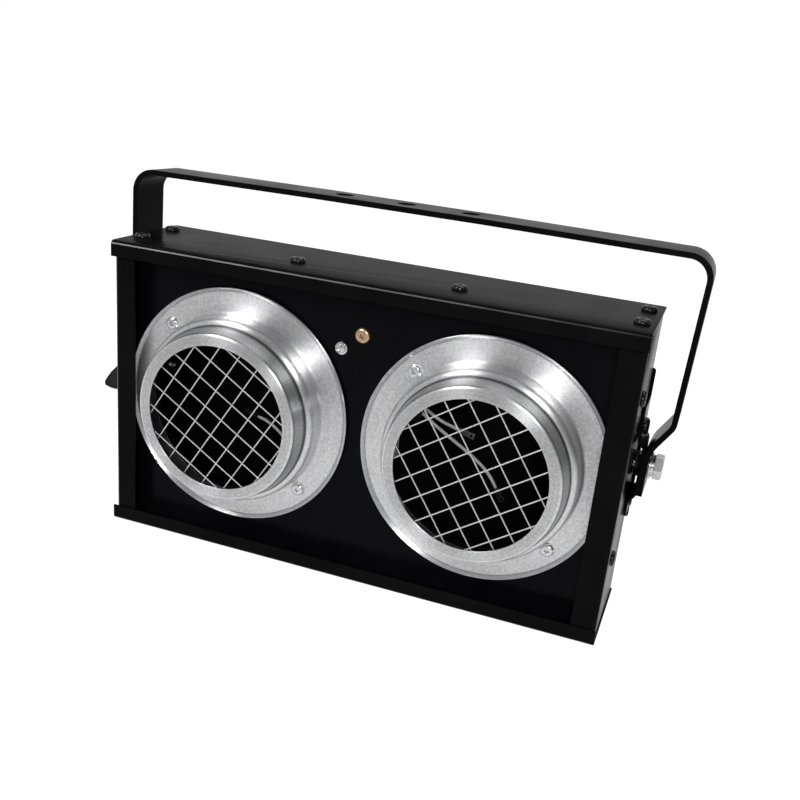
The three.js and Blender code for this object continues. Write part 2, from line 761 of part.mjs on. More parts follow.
// Terminal block with a screw well and a wire entry at each end of every pole
function terminalBlock() {
  const back = rearWallInner - clearance;
  const front = back - blockDepth;
  const low = blockZ - blockHeight / 2;
  const high = blockZ + blockHeight / 2;
  const outline = new THREE.Shape([
    new THREE.Vector2(back, low), new THREE.Vector2(back, high),
    new THREE.Vector2(front + blockChamfer, high), new THREE.Vector2(front, high - blockChamfer),
    new THREE.Vector2(front, low + blockChamfer), new THREE.Vector2(front + blockChamfer, low),
  ]);
  const tools = blockPoleShares.flatMap((pole) => [-1, 1].flatMap((end) => {
    const x = pole * blockPolePitch;
    const well = rod(blockWell, blockWellDepth + cutOverrun, screwSides, front - cutOverrun);
    const entry = rod(blockEntry, blockEntryDepth + cutOverrun, screwSides).rotateX(Math.PI / 2);
    const entryZ = blockZ + end * (blockHeight / 2 - blockEntryDepth);
    if (end < 0) {
      entry.rotateX(Math.PI);
    }
    return [
      well.translate(x, 0, blockZ + end * blockHeight * blockWellShare),
      entry.translate(x, leadLine, entryZ),
    ];
  }));
  return cut(alongX(outline, blockWidth), ...tools);
}

// Routes of the lamp leads on the rear wall, as shares of half the box's width and of its height
const leadRouteShares = {
  right_long: [[0.037, 0.47], [0.08, 0.508], [0.14, 0.501], [0.19, 0.47], [0.275, 0.427],
    [0.365, 0.382], [0.43, 0.342], [0.465, 0.308], [0.485, 0.28]],
  right_short: [[-0.022, 0.48], [0.03, 0.527], [0.12, 0.532], [0.18, 0.503], [0.235, 0.48], [0.31, 0.463]],
  left_long: [[-0.04, 0.27], [-0.1, 0.23], [-0.2, 0.215], [-0.32, 0.225], [-0.42, 0.266],
    [-0.475, 0.308], [-0.515, 0.333], [-0.58, 0.35]],
  left_short: [[0.02, 0.25], [-0.02, 0.206], [-0.12, 0.187], [-0.22, 0.18], [-0.32, 0.19], [-0.42, 0.226]],
};
const leadPoleShares = { right_long: 0.5, right_short: -0.5, left_long: -0.5, left_short: 0.5 };

function leadPoints(name) {
  const end = name.startsWith('right') ? 1 : -1;
  const exit = new THREE.Vector3(
    leadPoleShares[name] * blockPolePitch,
    leadLine,
    blockZ + end * (blockHeight / 2 - blockEntryDepth + clearance),
  );
  const straight = exit.clone().setZ(blockZ + end * (blockHeight / 2 + 2 * leadRadius));
  const route = leadRouteShares[name].map(([xShare, zShare]) => new THREE.Vector3(
    (xShare * boxWidth) / 2, leadLine, zShare * boxHeight,
  ));
  return [exit, straight, ...route];
}

// Tinned spade crimped on the free end of a lead, pointing on along it
function addTerminal(name, points) {
  const [before, end] = points.slice(-2);
  const heading = end.clone().sub(before).normalize();
  const spade = rectangle(-terminalWidth / 2, 0, terminalWidth / 2, terminalLength);
  const eye = new THREE.Path();
  eye.absarc(0, terminalLength - terminalWidth / 2, terminalEye, 0, 2 * Math.PI);
  spade.holes.push(eye);
  const geometry = alongZ(spade, terminalThickness, -terminalThickness / 2, eyeSteps);
  const mesh = addPiece(name, geometry, 'zincSteel');
  mesh.position.copy(end).addScaledVector(heading, clearance);
  mesh.rotation.set(Math.PI / 2, Math.PI / 2 - Math.atan2(heading.z, heading.x), 0, 'YXZ');
}

// Clip that holds both leads of a station against the rear wall
function leadClip() {
  const rise = 2 * leadRadius + clearance;
  const half = clipInner / 2;
  const slope = half + rise / 2;
  const corners = hatStrip(
    [-slope - clipFoot, -slope, -half, half, slope, slope + clipFoot], rise, clipSheet, clipSheet,
  );
  const placed = corners.map(([along, away, radius]) => [-away, along, radius]);
  return alongX(foldedStrip(placed, clipSheet), clipWidth);
}

// Assembly: box
addPiece('top_cover', topCover(), 'blackCoat');
addPiece('bottom_cover', bottomCover(), 'blackCoat');
addPiece('body_shell', bodyShell(), 'blackCoat');
addPiece('front_panel', frontPanel(), 'innerCoat');
addPiece('rear_plate', rearPlate(), 'blackCoat');

// Assembly: lamp stations
sides.forEach(([side, sign]) => {
  addPiece(`ring_${side}`, spunRing(sign), 'spunAluminium');
  const grille = addPiece(`grille_${side}`, wireGrille(sign < 0 ? leftGrille : rightGrille), 'whiteWire');
  grille.position.set(sign * stationX, panelFace - grilleHeight, pivotZ);
  const clip = addPiece(`grille_clip_${side}`, grilleClip(), 'zincSteel');
  clip.position.set(sign * stationX, panelFace, pivotZ);
});

// Assembly: screws
function addScrew(name, screw, place, direction, finish) {
  const seat = new THREE.Vector3(...place).addScaledVector(direction, clearance);
  aim(addPiece(name, domedScrew(screw), finish), seat.toArray(), direction);
}

[...coverCornerSeats, ...coverMiddleSeats].forEach(([seat, x, y]) => {
  addScrew(`cover_screw_${seat}`, coverScrew, [x, y, boxHeight], axisZ, 'blackSteel');
});
coverCornerSeats.forEach(([seat, x, y]) => {
  aim(addPiece(`base_screw_${seat}`, countersunkScrew(sunkScrew), 'blackSteel'), [x, y, seatGap], down);
});
sideSeats.forEach(([seat, sign, place]) => {
  addScrew(`side_screw_${seat}`, sideScrew, place, sign > 0 ? axisX : leftward, 'blackSteel');
});
ringSeats.forEach(([seat, place]) => {
  const raised = [place[0], place[1] - clearance - ringSheet, place[2]];
  addScrew(`ring_screw_${seat}`, ringScrew, raised, forward, 'zincSteel');
});
rearSeats.forEach(([seat, place]) => {
  const raised = [place[0], rearPlateFace + rearPlateSheet, place[2]];
  addScrew(`rear_screw_${seat}`, rearScrew, raised, axisY, 'blackSteel');
});
addScrew('panel_rivet', panelRivet, [rivetX, panelFace, rivetZ], forward, 'zincSteel');
addScrew('earth_screw', earthScrew, [earthX, panelFace, earthZ], forward, 'brass');

// Assembly: tilt hardware
const rightLegOuter = rightLegInner + yokeBar;
const leftLegOuter = leftLegInner - yokeBar;
const washerPlace = rightLegOuter + seatGap;
const springWasherPlace = washerPlace + washerThickness + seatGap;
const boltPlace = springWasherPlace + springWasherThickness + seatGap;
const tiltNutPlace = bracketWeb - bracketSheet - seatGap - tiltNutThickness;
const spacerThickness = -leftLegInner - sideOuter - clearance - seatGap;
const spacerRadius = rearPlane - pivotY - clearance;
const studLength = seatGap - leftLegOuter - sideInner + studTip;

addPiece('pivot_bracket', hatBracket(), 'blackCoat');
addScrew('bracket_screw', bracketScrew, bracketScrewPlace, axisX, 'blackSteel');
addScrew('bracket_rivet', bracketRivet, bracketRivetPlace, axisX, 'blackSteel');
aim(
  addPiece('tilt_bolt', tiltBolt(boltPlace - sideInner + boltTip), 'zincSteel'),
  [boltPlace, pivotY, pivotZ], axisX,
);
aim(addPiece('spring_washer', springWasher(), 'zincSteel'), [springWasherPlace, pivotY, pivotZ], axisX);
aim(
  addPiece('tilt_washer', washer(pivotHoleRadius, washerRadius, washerThickness), 'zincSteel'),
  [washerPlace, pivotY, pivotZ], axisX,
);
aim(addPiece('tilt_nut', hexNut(tiltNutThickness), 'blackSteel'), [tiltNutPlace, pivotY, pivotZ], axisX);
aim(
  addPiece('pivot_spacer', washer(pivotHoleRadius, spacerRadius, spacerThickness), 'blackPlastic'),
  [-sideOuter - clearance, pivotY, pivotZ], leftward,
);
aim(
  addPiece('knob_nut', hexNut(knobNutThickness), 'zincSteel'),
  [-sideInner + clearance, pivotY, pivotZ], axisX,
);
const knob = addPiece('tilt_knob', wingKnob(studLength), 'blackPlastic');
aim(knob, [leftLegOuter - seatGap, pivotY, pivotZ], leftward);
knob.rotateY(-THREE.MathUtils.degToRad(knobDegrees));

const yoke = addPiece('yoke', yokeBarPiece(), 'blackCoat');
yoke.position.set(yokeX, pivotY, pivotZ);
yoke.rotation.x = -THREE.MathUtils.degToRad(yokeTiltDegrees);

// Assembly: wiring
addPiece('gland_body', glandBody(), 'blackPlastic').position.set(glandX, rearPlane + clearance, glandZ);
addPiece('gland_nut', glandNut(), 'blackPlastic').position.set(
  glandX, rearPlane + 2 * clearance + glandFlange, glandZ,
);
addPiece('terminal_block', terminalBlock(), 'ceramic');
Object.keys(leadRouteShares).forEach((name) => {
  const points = leadPoints(name);
  addPiece(`lamp_lead_${name}`, bar(points, leadRadius, leadSides, leadSteps), 'sleeve');
  addTerminal(`lead_terminal_${name}`, points);
});
const clipPlaceShares = { right: [0.13, 0.517], left: [-0.24, 0.197] };
const clipSlopeDegrees = { right: 2, left: 0 };
Object.entries(clipPlaceShares).forEach(([side, [xShare, zShare]]) => {
  const clip = addPiece(`lead_clip_${side}`, leadClip(), 'zincSteel');
  clip.position.set((xShare * boxWidth) / 2, rearWallInner - clearance, zShare * boxHeight);
  clip.rotation.y = THREE.MathUtils.degToRad(clipSlopeDegrees[side]);
});

export default blinder;
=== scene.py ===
import bpy
import bmesh
import math
from mathutils import Matrix, Vector


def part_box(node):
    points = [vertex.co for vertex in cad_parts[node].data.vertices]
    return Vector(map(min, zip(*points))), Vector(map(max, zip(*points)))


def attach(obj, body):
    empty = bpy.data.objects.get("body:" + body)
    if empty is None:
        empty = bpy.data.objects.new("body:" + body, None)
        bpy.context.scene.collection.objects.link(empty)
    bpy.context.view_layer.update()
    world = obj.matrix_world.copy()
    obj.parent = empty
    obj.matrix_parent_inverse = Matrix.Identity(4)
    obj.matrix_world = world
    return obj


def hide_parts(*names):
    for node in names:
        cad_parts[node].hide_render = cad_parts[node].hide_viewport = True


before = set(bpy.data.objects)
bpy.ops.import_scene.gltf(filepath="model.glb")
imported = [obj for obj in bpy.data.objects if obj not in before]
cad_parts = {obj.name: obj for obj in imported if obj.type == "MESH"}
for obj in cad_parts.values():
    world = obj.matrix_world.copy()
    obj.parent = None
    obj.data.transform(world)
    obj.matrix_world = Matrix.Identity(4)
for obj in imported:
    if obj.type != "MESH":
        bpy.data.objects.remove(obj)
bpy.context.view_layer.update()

mm = 0.001
axisX = Vector((1, 0, 0))
axisY = Vector((0, 1, 0))
axisZ = Vector((0, 0, 1))
frontward = -axisY
fullTurn = math.tau
quarterTurn = fullTurn / 4
mergeWithin = mm / 1000  # points closer than this are one point
touchWithin = mm / 100  # points closer than this to a line are on it
alongShare = 0.5  # a unit direction with more than this of an axis runs along it
print("blinder: frame loaded")


# Camera, at the place and angle of the photograph
viewpoint = {
    "place": (239.18, -661.93, 379.67),
    "right": (0.93657, 0.33757, 0.09428),
    "up": (-0.20349, 0.30471, 0.93045),
    "forward": (-0.28536, 0.89062, -0.35407),
    "focalPixels": 977.14,
    "imagePixels": 800,
    "middlePixels": (402.3, 425.95),
    "sensor": 36,
    "nearest": 10,
    "farthest": 100000,
}


def makeCamera():
    lens = bpy.data.cameras.new("camera")
    lens.sensor_width = viewpoint["sensor"]
    pixels = viewpoint["imagePixels"]
    lens.lens = viewpoint["focalPixels"] * viewpoint["sensor"] / pixels
    middle = [(side - pixels / 2) / pixels for side in viewpoint["middlePixels"]]
    lens.shift_x = -middle[0]
    lens.shift_y = middle[1]
    lens.clip_start = viewpoint["nearest"] * mm
    lens.clip_end = viewpoint["farthest"] * mm
    camera = bpy.data.objects.new("camera", lens)
    bpy.context.collection.objects.link(camera)
    backward = [-part for part in viewpoint["forward"]]
    turned = Matrix((viewpoint["right"], viewpoint["up"], backward)).transposed()
    camera.matrix_world = Matrix.Translation(Vector(viewpoint["place"]) * mm) @ turned.to_4x4()
    bpy.context.scene.camera = camera


makeCamera()
print("blinder: camera set")


# Material helpers, which build the world's nodes too
plainSpecular = 0.5
noiseReach = (0.3, 0.7)  # a noise runs mostly between these
noiseDetail = {"patch": 4, "coatGrain": 1, "mark": 1, "band": 3, "speckle": 2, "metalGrain": 3,
               "metalBump": 2}


def newMaterial(name, look):
    # plain values first, some of which the look's own nodes replace
    material = bpy.data.materials.new(name)
    material.use_nodes = True
    nodes = material.node_tree.nodes
    shader = nodes["Principled BSDF"]
    shader.inputs["Base Color"].default_value = (*look["colour"], 1)
    shader.inputs["Metallic"].default_value = look.get("metallic", 0)
    shader.inputs["Roughness"].default_value = look["roughness"]
    shader.inputs["Specular IOR Level"].default_value = look.get("specular", plainSpecular)
    return material, shader


def addNode(material, kind, **settings):
    node = material.node_tree.nodes.new(kind)
    for name, value in settings.items():
        setattr(node, name, value)
    return node


def link(material, output, socket):
    material.node_tree.links.new(output, socket)


def objectPlace(material, centre=(0, 0, 0)):
    place = addNode(material, "ShaderNodeTexCoord")
    mapping = addNode(material, "ShaderNodeMapping")
    mapping.inputs["Location"].default_value = [-side for side in centre]
    link(material, place.outputs["Object"], mapping.inputs["Vector"])
    return mapping.outputs["Vector"]


def sidesOf(material, vector):
    sides = addNode(material, "ShaderNodeSeparateXYZ")
    link(material, vector, sides.inputs["Vector"])
    return sides.outputs


def noiseOn(material, vector, size, detail):
    noise = addNode(material, "ShaderNodeTexNoise")
    noise.inputs["Scale"].default_value = 1 / (size * mm)
    noise.inputs["Detail"].default_value = detail
    link(material, vector, noise.inputs["Vector"])
    return noise.outputs["Fac"]


def noiseAlong(material, distance, size, detail):
    noise = addNode(material, "ShaderNodeTexNoise", noise_dimensions="1D")
    noise.inputs["Scale"].default_value = 1 / (size * mm)
    noise.inputs["Detail"].default_value = detail
    link(material, distance, noise.inputs["W"])
    return noise.outputs["Fac"]


def mapRange(material, value, fromEnds, toEnds=(0, 1), **settings):
    ranged = addNode(material, "ShaderNodeMapRange", **settings)
    for kind, ends in (("From", fromEnds), ("To", toEnds)):
        ranged.inputs[kind + " Min"].default_value = ends[0]
        ranged.inputs[kind + " Max"].default_value = ends[1]
    link(material, value, ranged.inputs["Value"])
    return ranged.outputs["Result"]


def spread(material, noise, low, high):
    return mapRange(material, noise, noiseReach, (low, high))


def blendColours(material, share, first, second):
    # each colour is three numbers or another node's output
    mixed = addNode(material, "ShaderNodeMix", data_type="RGBA")
    sockets = [socket for socket in mixed.inputs if socket.type == "RGBA"]
    for socket, colour in zip(sockets, (first, second)):
        if isinstance(colour, tuple):
            socket.default_value = (*colour, 1)
        else:
            link(material, colour, socket)
    link(material, share, mixed.inputs["Factor"])
    return [output for output in mixed.outputs if output.type == "RGBA"][0]


def bumpFrom(material, shader, height, depth):
    bump = addNode(material, "ShaderNodeBump")
    bump.inputs["Strength"].default_value = 1
    bump.inputs["Distance"].default_value = depth * mm
    link(material, height, bump.inputs["Height"])
    link(material, bump.outputs["Normal"], shader.inputs["Normal"])


def maths(material, operation, first, second):
    node = addNode(material, "ShaderNodeMath", operation=operation)
    for socket, value in zip(node.inputs, (first, second)):
        if isinstance(value, (int, float)):
            socket.default_value = value
        else:
            link(material, value, socket)
    return node.outputs[0]


def vectorMaths(material, operation, first, second=None):
    node = addNode(material, "ShaderNodeVectorMath", operation=operation)
    link(material, first, node.inputs[0])
    if isinstance(second, (tuple, Vector)):
        node.inputs[1].default_value = second
    elif second is not None:
        link(material, second, node.inputs[1])
    return node.outputs["Value" if operation == "DOT_PRODUCT" else "Vector"]


# Black powder coat on the sheet metal and the yoke
blackCoatLook = {
    "colour": (0.0032, 0.0032, 0.0036),
    "dusted": (0.0055, 0.0055, 0.006),
    "specular": 0.024,
    "roughness": 0.22,
    "roughnessEnds": (0.17, 0.28),
    "grain": 0.9,
    "grainDepth": 0.02,
    "patch": 38,
    # along the front fold the coat is painted lighter, a painted highlight brightest at its left end
    "worn": (0.32, 0.32, 0.33),
    "wornShares": (0.5, 1),
    "wornFrom": (230, -200),
}

# Smoother black on the recessed front panel
innerCoatLook = {
    **blackCoatLook,
    "colour": (0.002, 0.002, 0.003),
    "dusted": (0.0035, 0.0035, 0.0045),
    "specular": 0.05,
    "roughness": 0.24,
    "roughnessEnds": (0.19, 0.3),
    "grain": 1.4,
    "grainDepth": 0.015,
    "patch": 30,
}


# painted highlight: a lighter colour on the fold faces, patchy and fading towards the right
def foldHighlightShare(material, look, place, patches):
    fold = addNode(material, "ShaderNodeAttribute", attribute_name="fold")
    patchy = spread(material, patches, *look["wornShares"])
    reach = [end * mm for end in look["wornFrom"]]
    leftward = mapRange(material, sidesOf(material, place)["X"], reach)
    return maths(material, "MULTIPLY", maths(material, "MULTIPLY", fold.outputs["Fac"], patchy), leftward)


def makeBlackCoat(name, look):
    material, shader = newMaterial(name, look)
    place = objectPlace(material)
    patches = noiseOn(material, place, look["patch"], noiseDetail["patch"])
    painted = blendColours(material, spread(material, patches, 0, 1), look["colour"], look["dusted"])
    # the painted highlight along the front fold
    worn = foldHighlightShare(material, look, place, patches)
    link(material, blendColours(material, worn, painted, look["worn"]), shader.inputs["Base Color"])
    link(material, spread(material, patches, *look["roughnessEnds"]), shader.inputs["Roughness"])
    grain = noiseOn(material, place, look["grain"], noiseDetail["coatGrain"])
    bumpFrom(material, shader, grain, look["grainDepth"])
    return material


# Spun aluminium: fine turning marks round the lamp's axis, and a satin speckle
spunLook = {
    "colour": (0.97, 0.97, 0.98),
    "dull": (0.64, 0.64, 0.65),
    "metallic": 1,
    "roughness": 0.34,
    "roughnessEnds": (0.4, 0.3),
    "anisotropy": 0.9,
    "glossTurnShare": 0.25,  # a quarter turn, so the gloss spreads across the turning marks
    "mark": 0.55,
    "markDepth": 0.012,
    "band": 5,
    "bandShare": 0.3,
    "speckle": 1.5,
    # radius and shade, painted: the mouth is darker, its fold gets a painted highlight and the creases a
    # painted shade
    "shades": (
        (55, 0.78), (62.3, 0.78), (62.8, 1), (64, 1), (64.4, 0.2), (64.9, 0.84), (66.4, 0.84), (66.8, 0.2),
        (67.3, 0.2), (67.8, 0.95), (88.9, 0.95), (89.4, 0.55), (90, 0.85), (91.8, 0.95), (93, 1),
    ),
    # the barrel's inside gets a painted shade: it is the surface that faces its own axis
    "insideFrom": (-0.95, -0.85),
    "insideShade": 0.22,
}


# painted highlight and painted shade, keyed to the distance from the lamp's axis
def radialPaintedShade(material, look, radius):
    nearest, farthest = look["shades"][0][0], look["shades"][-1][0]
    shades = addNode(material, "ShaderNodeValToRGB")
    ramp = shades.color_ramp.elements
    for index, (distance, value) in enumerate(look["shades"]):
        stop = ramp[index] if index < 2 else ramp.new(1)  # a new ramp has two stops
        stop.position = (distance - nearest) / (farthest - nearest)
        stop.color = (value, value, value, 1)
    link(material, mapRange(material, radius, (nearest * mm, farthest * mm)), shades.inputs["Fac"])
    return shades.outputs["Color"]


# painted shade on the surfaces that face the lamp's axis
def insideShade(material, look, place):
    normal = addNode(material, "ShaderNodeTexCoord").outputs["Normal"]
    outwards = vectorMaths(material, "DOT_PRODUCT", vectorMaths(material, "NORMALIZE", place), normal)
    return mapRange(material, outwards, look["insideFrom"], (look["insideShade"], 1))


def makeSpunAluminium(name, look, centre):
    material, shader = newMaterial(name, look)
    place = objectPlace(material, centre)
    lay = vectorMaths(material, "NORMALIZE", vectorMaths(material, "CROSS_PRODUCT", place, axisY))
    link(material, lay, shader.inputs["Tangent"])
    shader.inputs["Anisotropic"].default_value = look["anisotropy"]
    shader.inputs["Anisotropic Rotation"].default_value = look["glossTurnShare"]
    across = sidesOf(material, place)
    squares = [maths(material, "POWER", across[side], 2) for side in ("X", "Z")]
    radius = maths(material, "SQRT", maths(material, "ADD", *squares), 0)
    along = maths(material, "ADD", radius, across["Y"])
    bands = noiseAlong(material, along, look["band"], noiseDetail["band"])
    speckle = noiseOn(material, place, look["speckle"], noiseDetail["speckle"])
    grain = maths(material, "ADD", maths(material, "MULTIPLY", bands, look["bandShare"]),
                  maths(material, "MULTIPLY", speckle, 1 - look["bandShare"]))
    shade = addNode(material, "ShaderNodeHueSaturation")
    ringPaintedShade = radialPaintedShade(material, look, radius)
    paintedBarrelShade = insideShade(material, look, place)
    link(material, maths(material, "MULTIPLY", ringPaintedShade, paintedBarrelShade), shade.inputs["Value"])
    link(material, blendColours(material, spread(material, grain, 0, 1), look["dull"], look["colour"]),
         shade.inputs["Color"])
    link(material, shade.outputs["Color"], shader.inputs["Base Color"])
    link(material, spread(material, grain, *look["roughnessEnds"]), shader.inputs["Roughness"])
    marks = noiseAlong(material, along, look["mark"], noiseDetail["mark"])
    bumpFrom(material, shader, marks, look["markDepth"])
    return material


# Wire, zinc, blackened steel, brass, plastic, ceramic and sleeving share one speckled finish
roughnessSwayShare = 0.15
wireLook = {"colour": (0.9, 0.9, 0.9), "dull": (0.76, 0.76, 0.77), "metallic": 0.75, "roughness": 0.3,
            "grain": 2.5, "grainDepth": 0.01}
zincLook = {"colour": (0.92, 0.92, 0.94), "dull": (0.6, 0.6, 0.62), "metallic": 1, "roughness": 0.24,
            "grain": 1.2, "grainDepth": 0.015}
blackSteelLook = {"colour": (0.03, 0.03, 0.032), "dull": (0.012, 0.012, 0.013), "metallic": 0.6,
                  "roughness": 0.26, "grain": 0.8, "grainDepth": 0.01}
brassLook = {"colour": (0.82, 0.6, 0.38), "dull": (0.5, 0.33, 0.18), "metallic": 1, "roughness": 0.34,
             "grain": 1.1, "grainDepth": 0.02}
plasticLook = {"colour": (0.008, 0.008, 0.009), "dull": (0.014, 0.014, 0.015), "metallic": 0,
               "specular": 0.1, "roughness": 0.42, "grain": 0.5, "grainDepth": 0.02}
ceramicLook = {"colour": (0.78, 0.75, 0.68), "dull": (0.66, 0.62, 0.55), "metallic": 0, "roughness": 0.38,
               "grain": 3, "grainDepth": 0.01}
sleeveLook = {"colour": (0.9, 0.89, 0.86), "dull": (0.74, 0.72, 0.68), "metallic": 0, "roughness": 0.7,
              "grain": 0.6, "grainDepth": 0.08}


def makeSpeckled(name, look):
    material, shader = newMaterial(name, look)
    place = objectPlace(material)
    grain = noiseOn(material, place, look["grain"], noiseDetail["metalGrain"])
    link(material, blendColours(material, spread(material, grain, 0, 1), look["dull"], look["colour"]),
         shader.inputs["Base Color"])
    roughness = look["roughness"]
    sway = roughness * roughnessSwayShare
    link(material, spread(material, grain, roughness + sway, roughness - sway), shader.inputs["Roughness"])
    fineGrain = noiseOn(material, place, look["grain"] / 2, noiseDetail["metalBump"])
    bumpFrom(material, shader, fineGrain, look["grainDepth"])
    return material


blackCoat = makeBlackCoat("blackCoat", blackCoatLook)
innerCoat = makeBlackCoat("innerCoat", innerCoatLook)
whiteWire = makeSpeckled("platedWire", wireLook)
zincSteel = makeSpeckled("zincSteel", zincLook)
blackSteel = makeSpeckled("blackSteel", blackSteelLook)
brass = makeSpeckled("brass", brassLook)
blackPlastic = makeSpeckled("blackPlastic", plasticLook)
ceramic = makeSpeckled("ceramic", ceramicLook)
sleeve = makeSpeckled("wovenSleeve", sleeveLook)
print("blinder: materials mixed")


# Mesh helpers
finishing = {"sharpDegrees": 32, "edgeSegments": 2, "roundProfileShare": 0.5, "flatDegrees": 1,
             "spinSteps": 64}


def newPiece(name, shape):
    mesh = bpy.data.meshes.new(name)
    shape.to_mesh(mesh)
    shape.free()
    piece = bpy.data.objects.new(name, mesh)
    bpy.context.collection.objects.link(piece)
    return piece


def finishPiece(piece, nodes, body, material, edge=0, sharpDegrees=finishing["sharpDegrees"]):
    piece.data.materials.clear()
    piece.data.materials.append(material)
    for face in piece.data.polygons:
        face.material_index = 0
        face.use_smooth = True
    piece.data.set_sharp_from_angle(angle=math.radians(sharpDegrees))
    if edge:
        rounding = piece.modifiers.new("edges", "BEVEL")
        rounding.limit_method = "ANGLE"
        rounding.angle_limit = math.radians(sharpDegrees)
        rounding.width = edge * mm
        rounding.segments = finishing["edgeSegments"]
        rounding.harden_normals = True
    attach(piece, body)
    if nodes:
        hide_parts(*nodes)
    return piece


def carve(piece, tools, operation="DIFFERENCE"):
    for tool in tools:
        cutter = piece.modifiers.new("cut", "BOOLEAN")
        cutter.operation = operation
        cutter.solver = "EXACT"
        cutter.object = tool
    bpy.context.view_layer.update()
    ready = piece.evaluated_get(bpy.context.evaluated_depsgraph_get())
    carved = bpy.data.meshes.new_from_object(ready)
    piece.modifiers.clear()
    piece.data = carved
    for tool in tools:
        bpy.data.objects.remove(tool)
    return piece


def thicken(piece, thickness, even=False):
    wall = piece.modifiers.new("sheet", "SOLIDIFY")
    wall.thickness = thickness * mm
    wall.offset = 0
    wall.use_even_offset = even


def solidCopy(node):
    shape = bmesh.new()
    shape.from_mesh(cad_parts[node].data)
    return shape


def joinPoints(shape):
    bmesh.ops.remove_doubles(shape, verts=shape.verts, dist=mergeWithin)


def joinFlats(shape):
    joinPoints(shape)
    bmesh.ops.dissolve_limit(shape, angle_limit=math.radians(finishing["flatDegrees"]), verts=shape.verts,
                             edges=shape.edges)


def closeUp(shape):
    joinPoints(shape)
    bmesh.ops.recalc_face_normals(shape, faces=shape.faces)


def shiftGrown(shape, grown, shift):
    # moves the points that an extrusion has made
    points = [part for part in grown["geom"] if isinstance(part, bmesh.types.BMVert)]
    bmesh.ops.translate(shape, verts=points, vec=shift)


def standing(place, direction, roll=0):
    # from the world's Z to a direction, rolled about it first
    turned = direction.to_track_quat("Z", "Y").to_matrix().to_4x4()
    return Matrix.Translation(place) @ turned @ Matrix.Rotation(roll, 4, "Z")


def aim(shape, place, direction):
    bmesh.ops.transform(shape, matrix=standing(place, direction), verts=shape.verts)


def spunShape(profile, steps=finishing["spinSteps"]):
    # a profile of (radius, height) in millimetres, turned about its own axis
    shape = bmesh.new()
    points = [shape.verts.new((radius * mm, 0, height * mm)) for radius, height in profile]
    edges = [shape.edges.new(pair) for pair in zip(points, points[1:])]
    bmesh.ops.spin(shape, geom=points + edges, cent=(0, 0, 0), axis=axisZ, angle=fullTurn, steps=steps,
                   use_merge=True)
    closeUp(shape)
    return shape


def roundEdges(shape, edges, offset, segments):
    return bmesh.ops.bevel(shape, geom=edges, offset=offset * mm, offset_type="OFFSET", segments=segments,
                           profile=finishing["roundProfileShare"], affect="EDGES", material=-1)


def isNear(distance, wanted):
    return abs(distance - wanted * mm) < touchWithin


def edgesWith(shape, holds):
    return [edge for edge in shape.edges if all(holds(vert.co) for vert in edge.verts)]


def roundLoop(shape, radius, height, offset, segments):
    loop = edgesWith(shape, lambda place: isNear(math.hypot(place.x, place.y), radius)
                     and isNear(place.z, height))
    roundEdges(shape, loop, offset, segments)


def foldSetbacks(corners):
    # each inner corner of a line of (across, height, fold), with what its fold takes off both sides
    folds = []
    for before, corner, after in zip(corners, corners[1:], corners[2:]):
        arriving = Vector(corner[:2]) - Vector(before[:2])
        leaving = Vector(after[:2]) - Vector(corner[:2])
        folds.append((corner[0], corner[1], corner[2] * math.tan(arriving.angle(leaving) / 2)))
    return folds


def prism(sides, radius, low, high):
    shape = bmesh.new()
    bmesh.ops.create_cone(shape, cap_ends=True, segments=sides, radius1=radius * mm, radius2=radius * mm,
                          depth=(high - low) * mm)
    bmesh.ops.translate(shape, verts=shape.verts, vec=(0, 0, (low + high) / 2 * mm))
    return shape


def middleOf(node):
    low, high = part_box(node)
    return (low + high) / 2


# Sheet metal: a merged copy of the folded sheet, with its folds and cut edges rounded
sheetMetal = {
    "foldEdge": 0.55,
    "foldSegments": 3,
    "foldDegrees": (30, 60),
    "shortestFold": 20,
    "cutEdge": 0.22,
    "worn": ("top_cover",),
    "wornLean": 0.6,
}


def foldSeams(shape):
    least, most = [math.radians(degrees) for degrees in sheetMetal["foldDegrees"]]
    return [seam for seam in shape.edges if len(seam.link_faces) == 2
            and least < seam.calc_face_angle() < most
            and seam.calc_length() > sheetMetal["shortestFold"] * mm]


def dressedSheet(node, material, edge):
    shape = solidCopy(node)
    worn = shape.faces.layers.float.new("fold")
    joinFlats(shape)
    rounded = roundEdges(shape, foldSeams(shape), sheetMetal["foldEdge"], sheetMetal["foldSegments"])
    if node in sheetMetal["worn"]:
        # only the lower line of the fold in front gets the painted highlight
        shape.normal_update()
        for face in rounded["faces"]:
            face[worn] = face.normal.y < 0 and abs(face.normal.z) < sheetMetal["wornLean"]
    piece = newPiece(node + "Sheet", shape)
    return finishPiece(piece, [node], "housing", material, edge)


for sheetNode in ("top_cover", "bottom_cover", "body_shell", "rear_plate", "pivot_bracket"):
    dressedSheet(sheetNode, blackCoat, sheetMetal["cutEdge"])
dressedSheet("front_panel", innerCoat, sheetMetal["cutEdge"])
print("blinder: sheet metal dressed")


# Spun rings: (radius, height, fold) of the middle of the sheet, from the rim to the mouth
ring = {
    "sheet": 1.2,
    "profile": (
        (92.2, 3.5, 0), (89.4, 0.9, 1), (71.2, 0.9, 3.4), (71.2, 18.6, 3.7),
        (66.6, 18.6, 0.8), (63.9, 34, 1.6), (55.5, 34, 0),
    ),
    "steps": 144,
    "foldSegments": 8,
    "edge": 0.3,
}


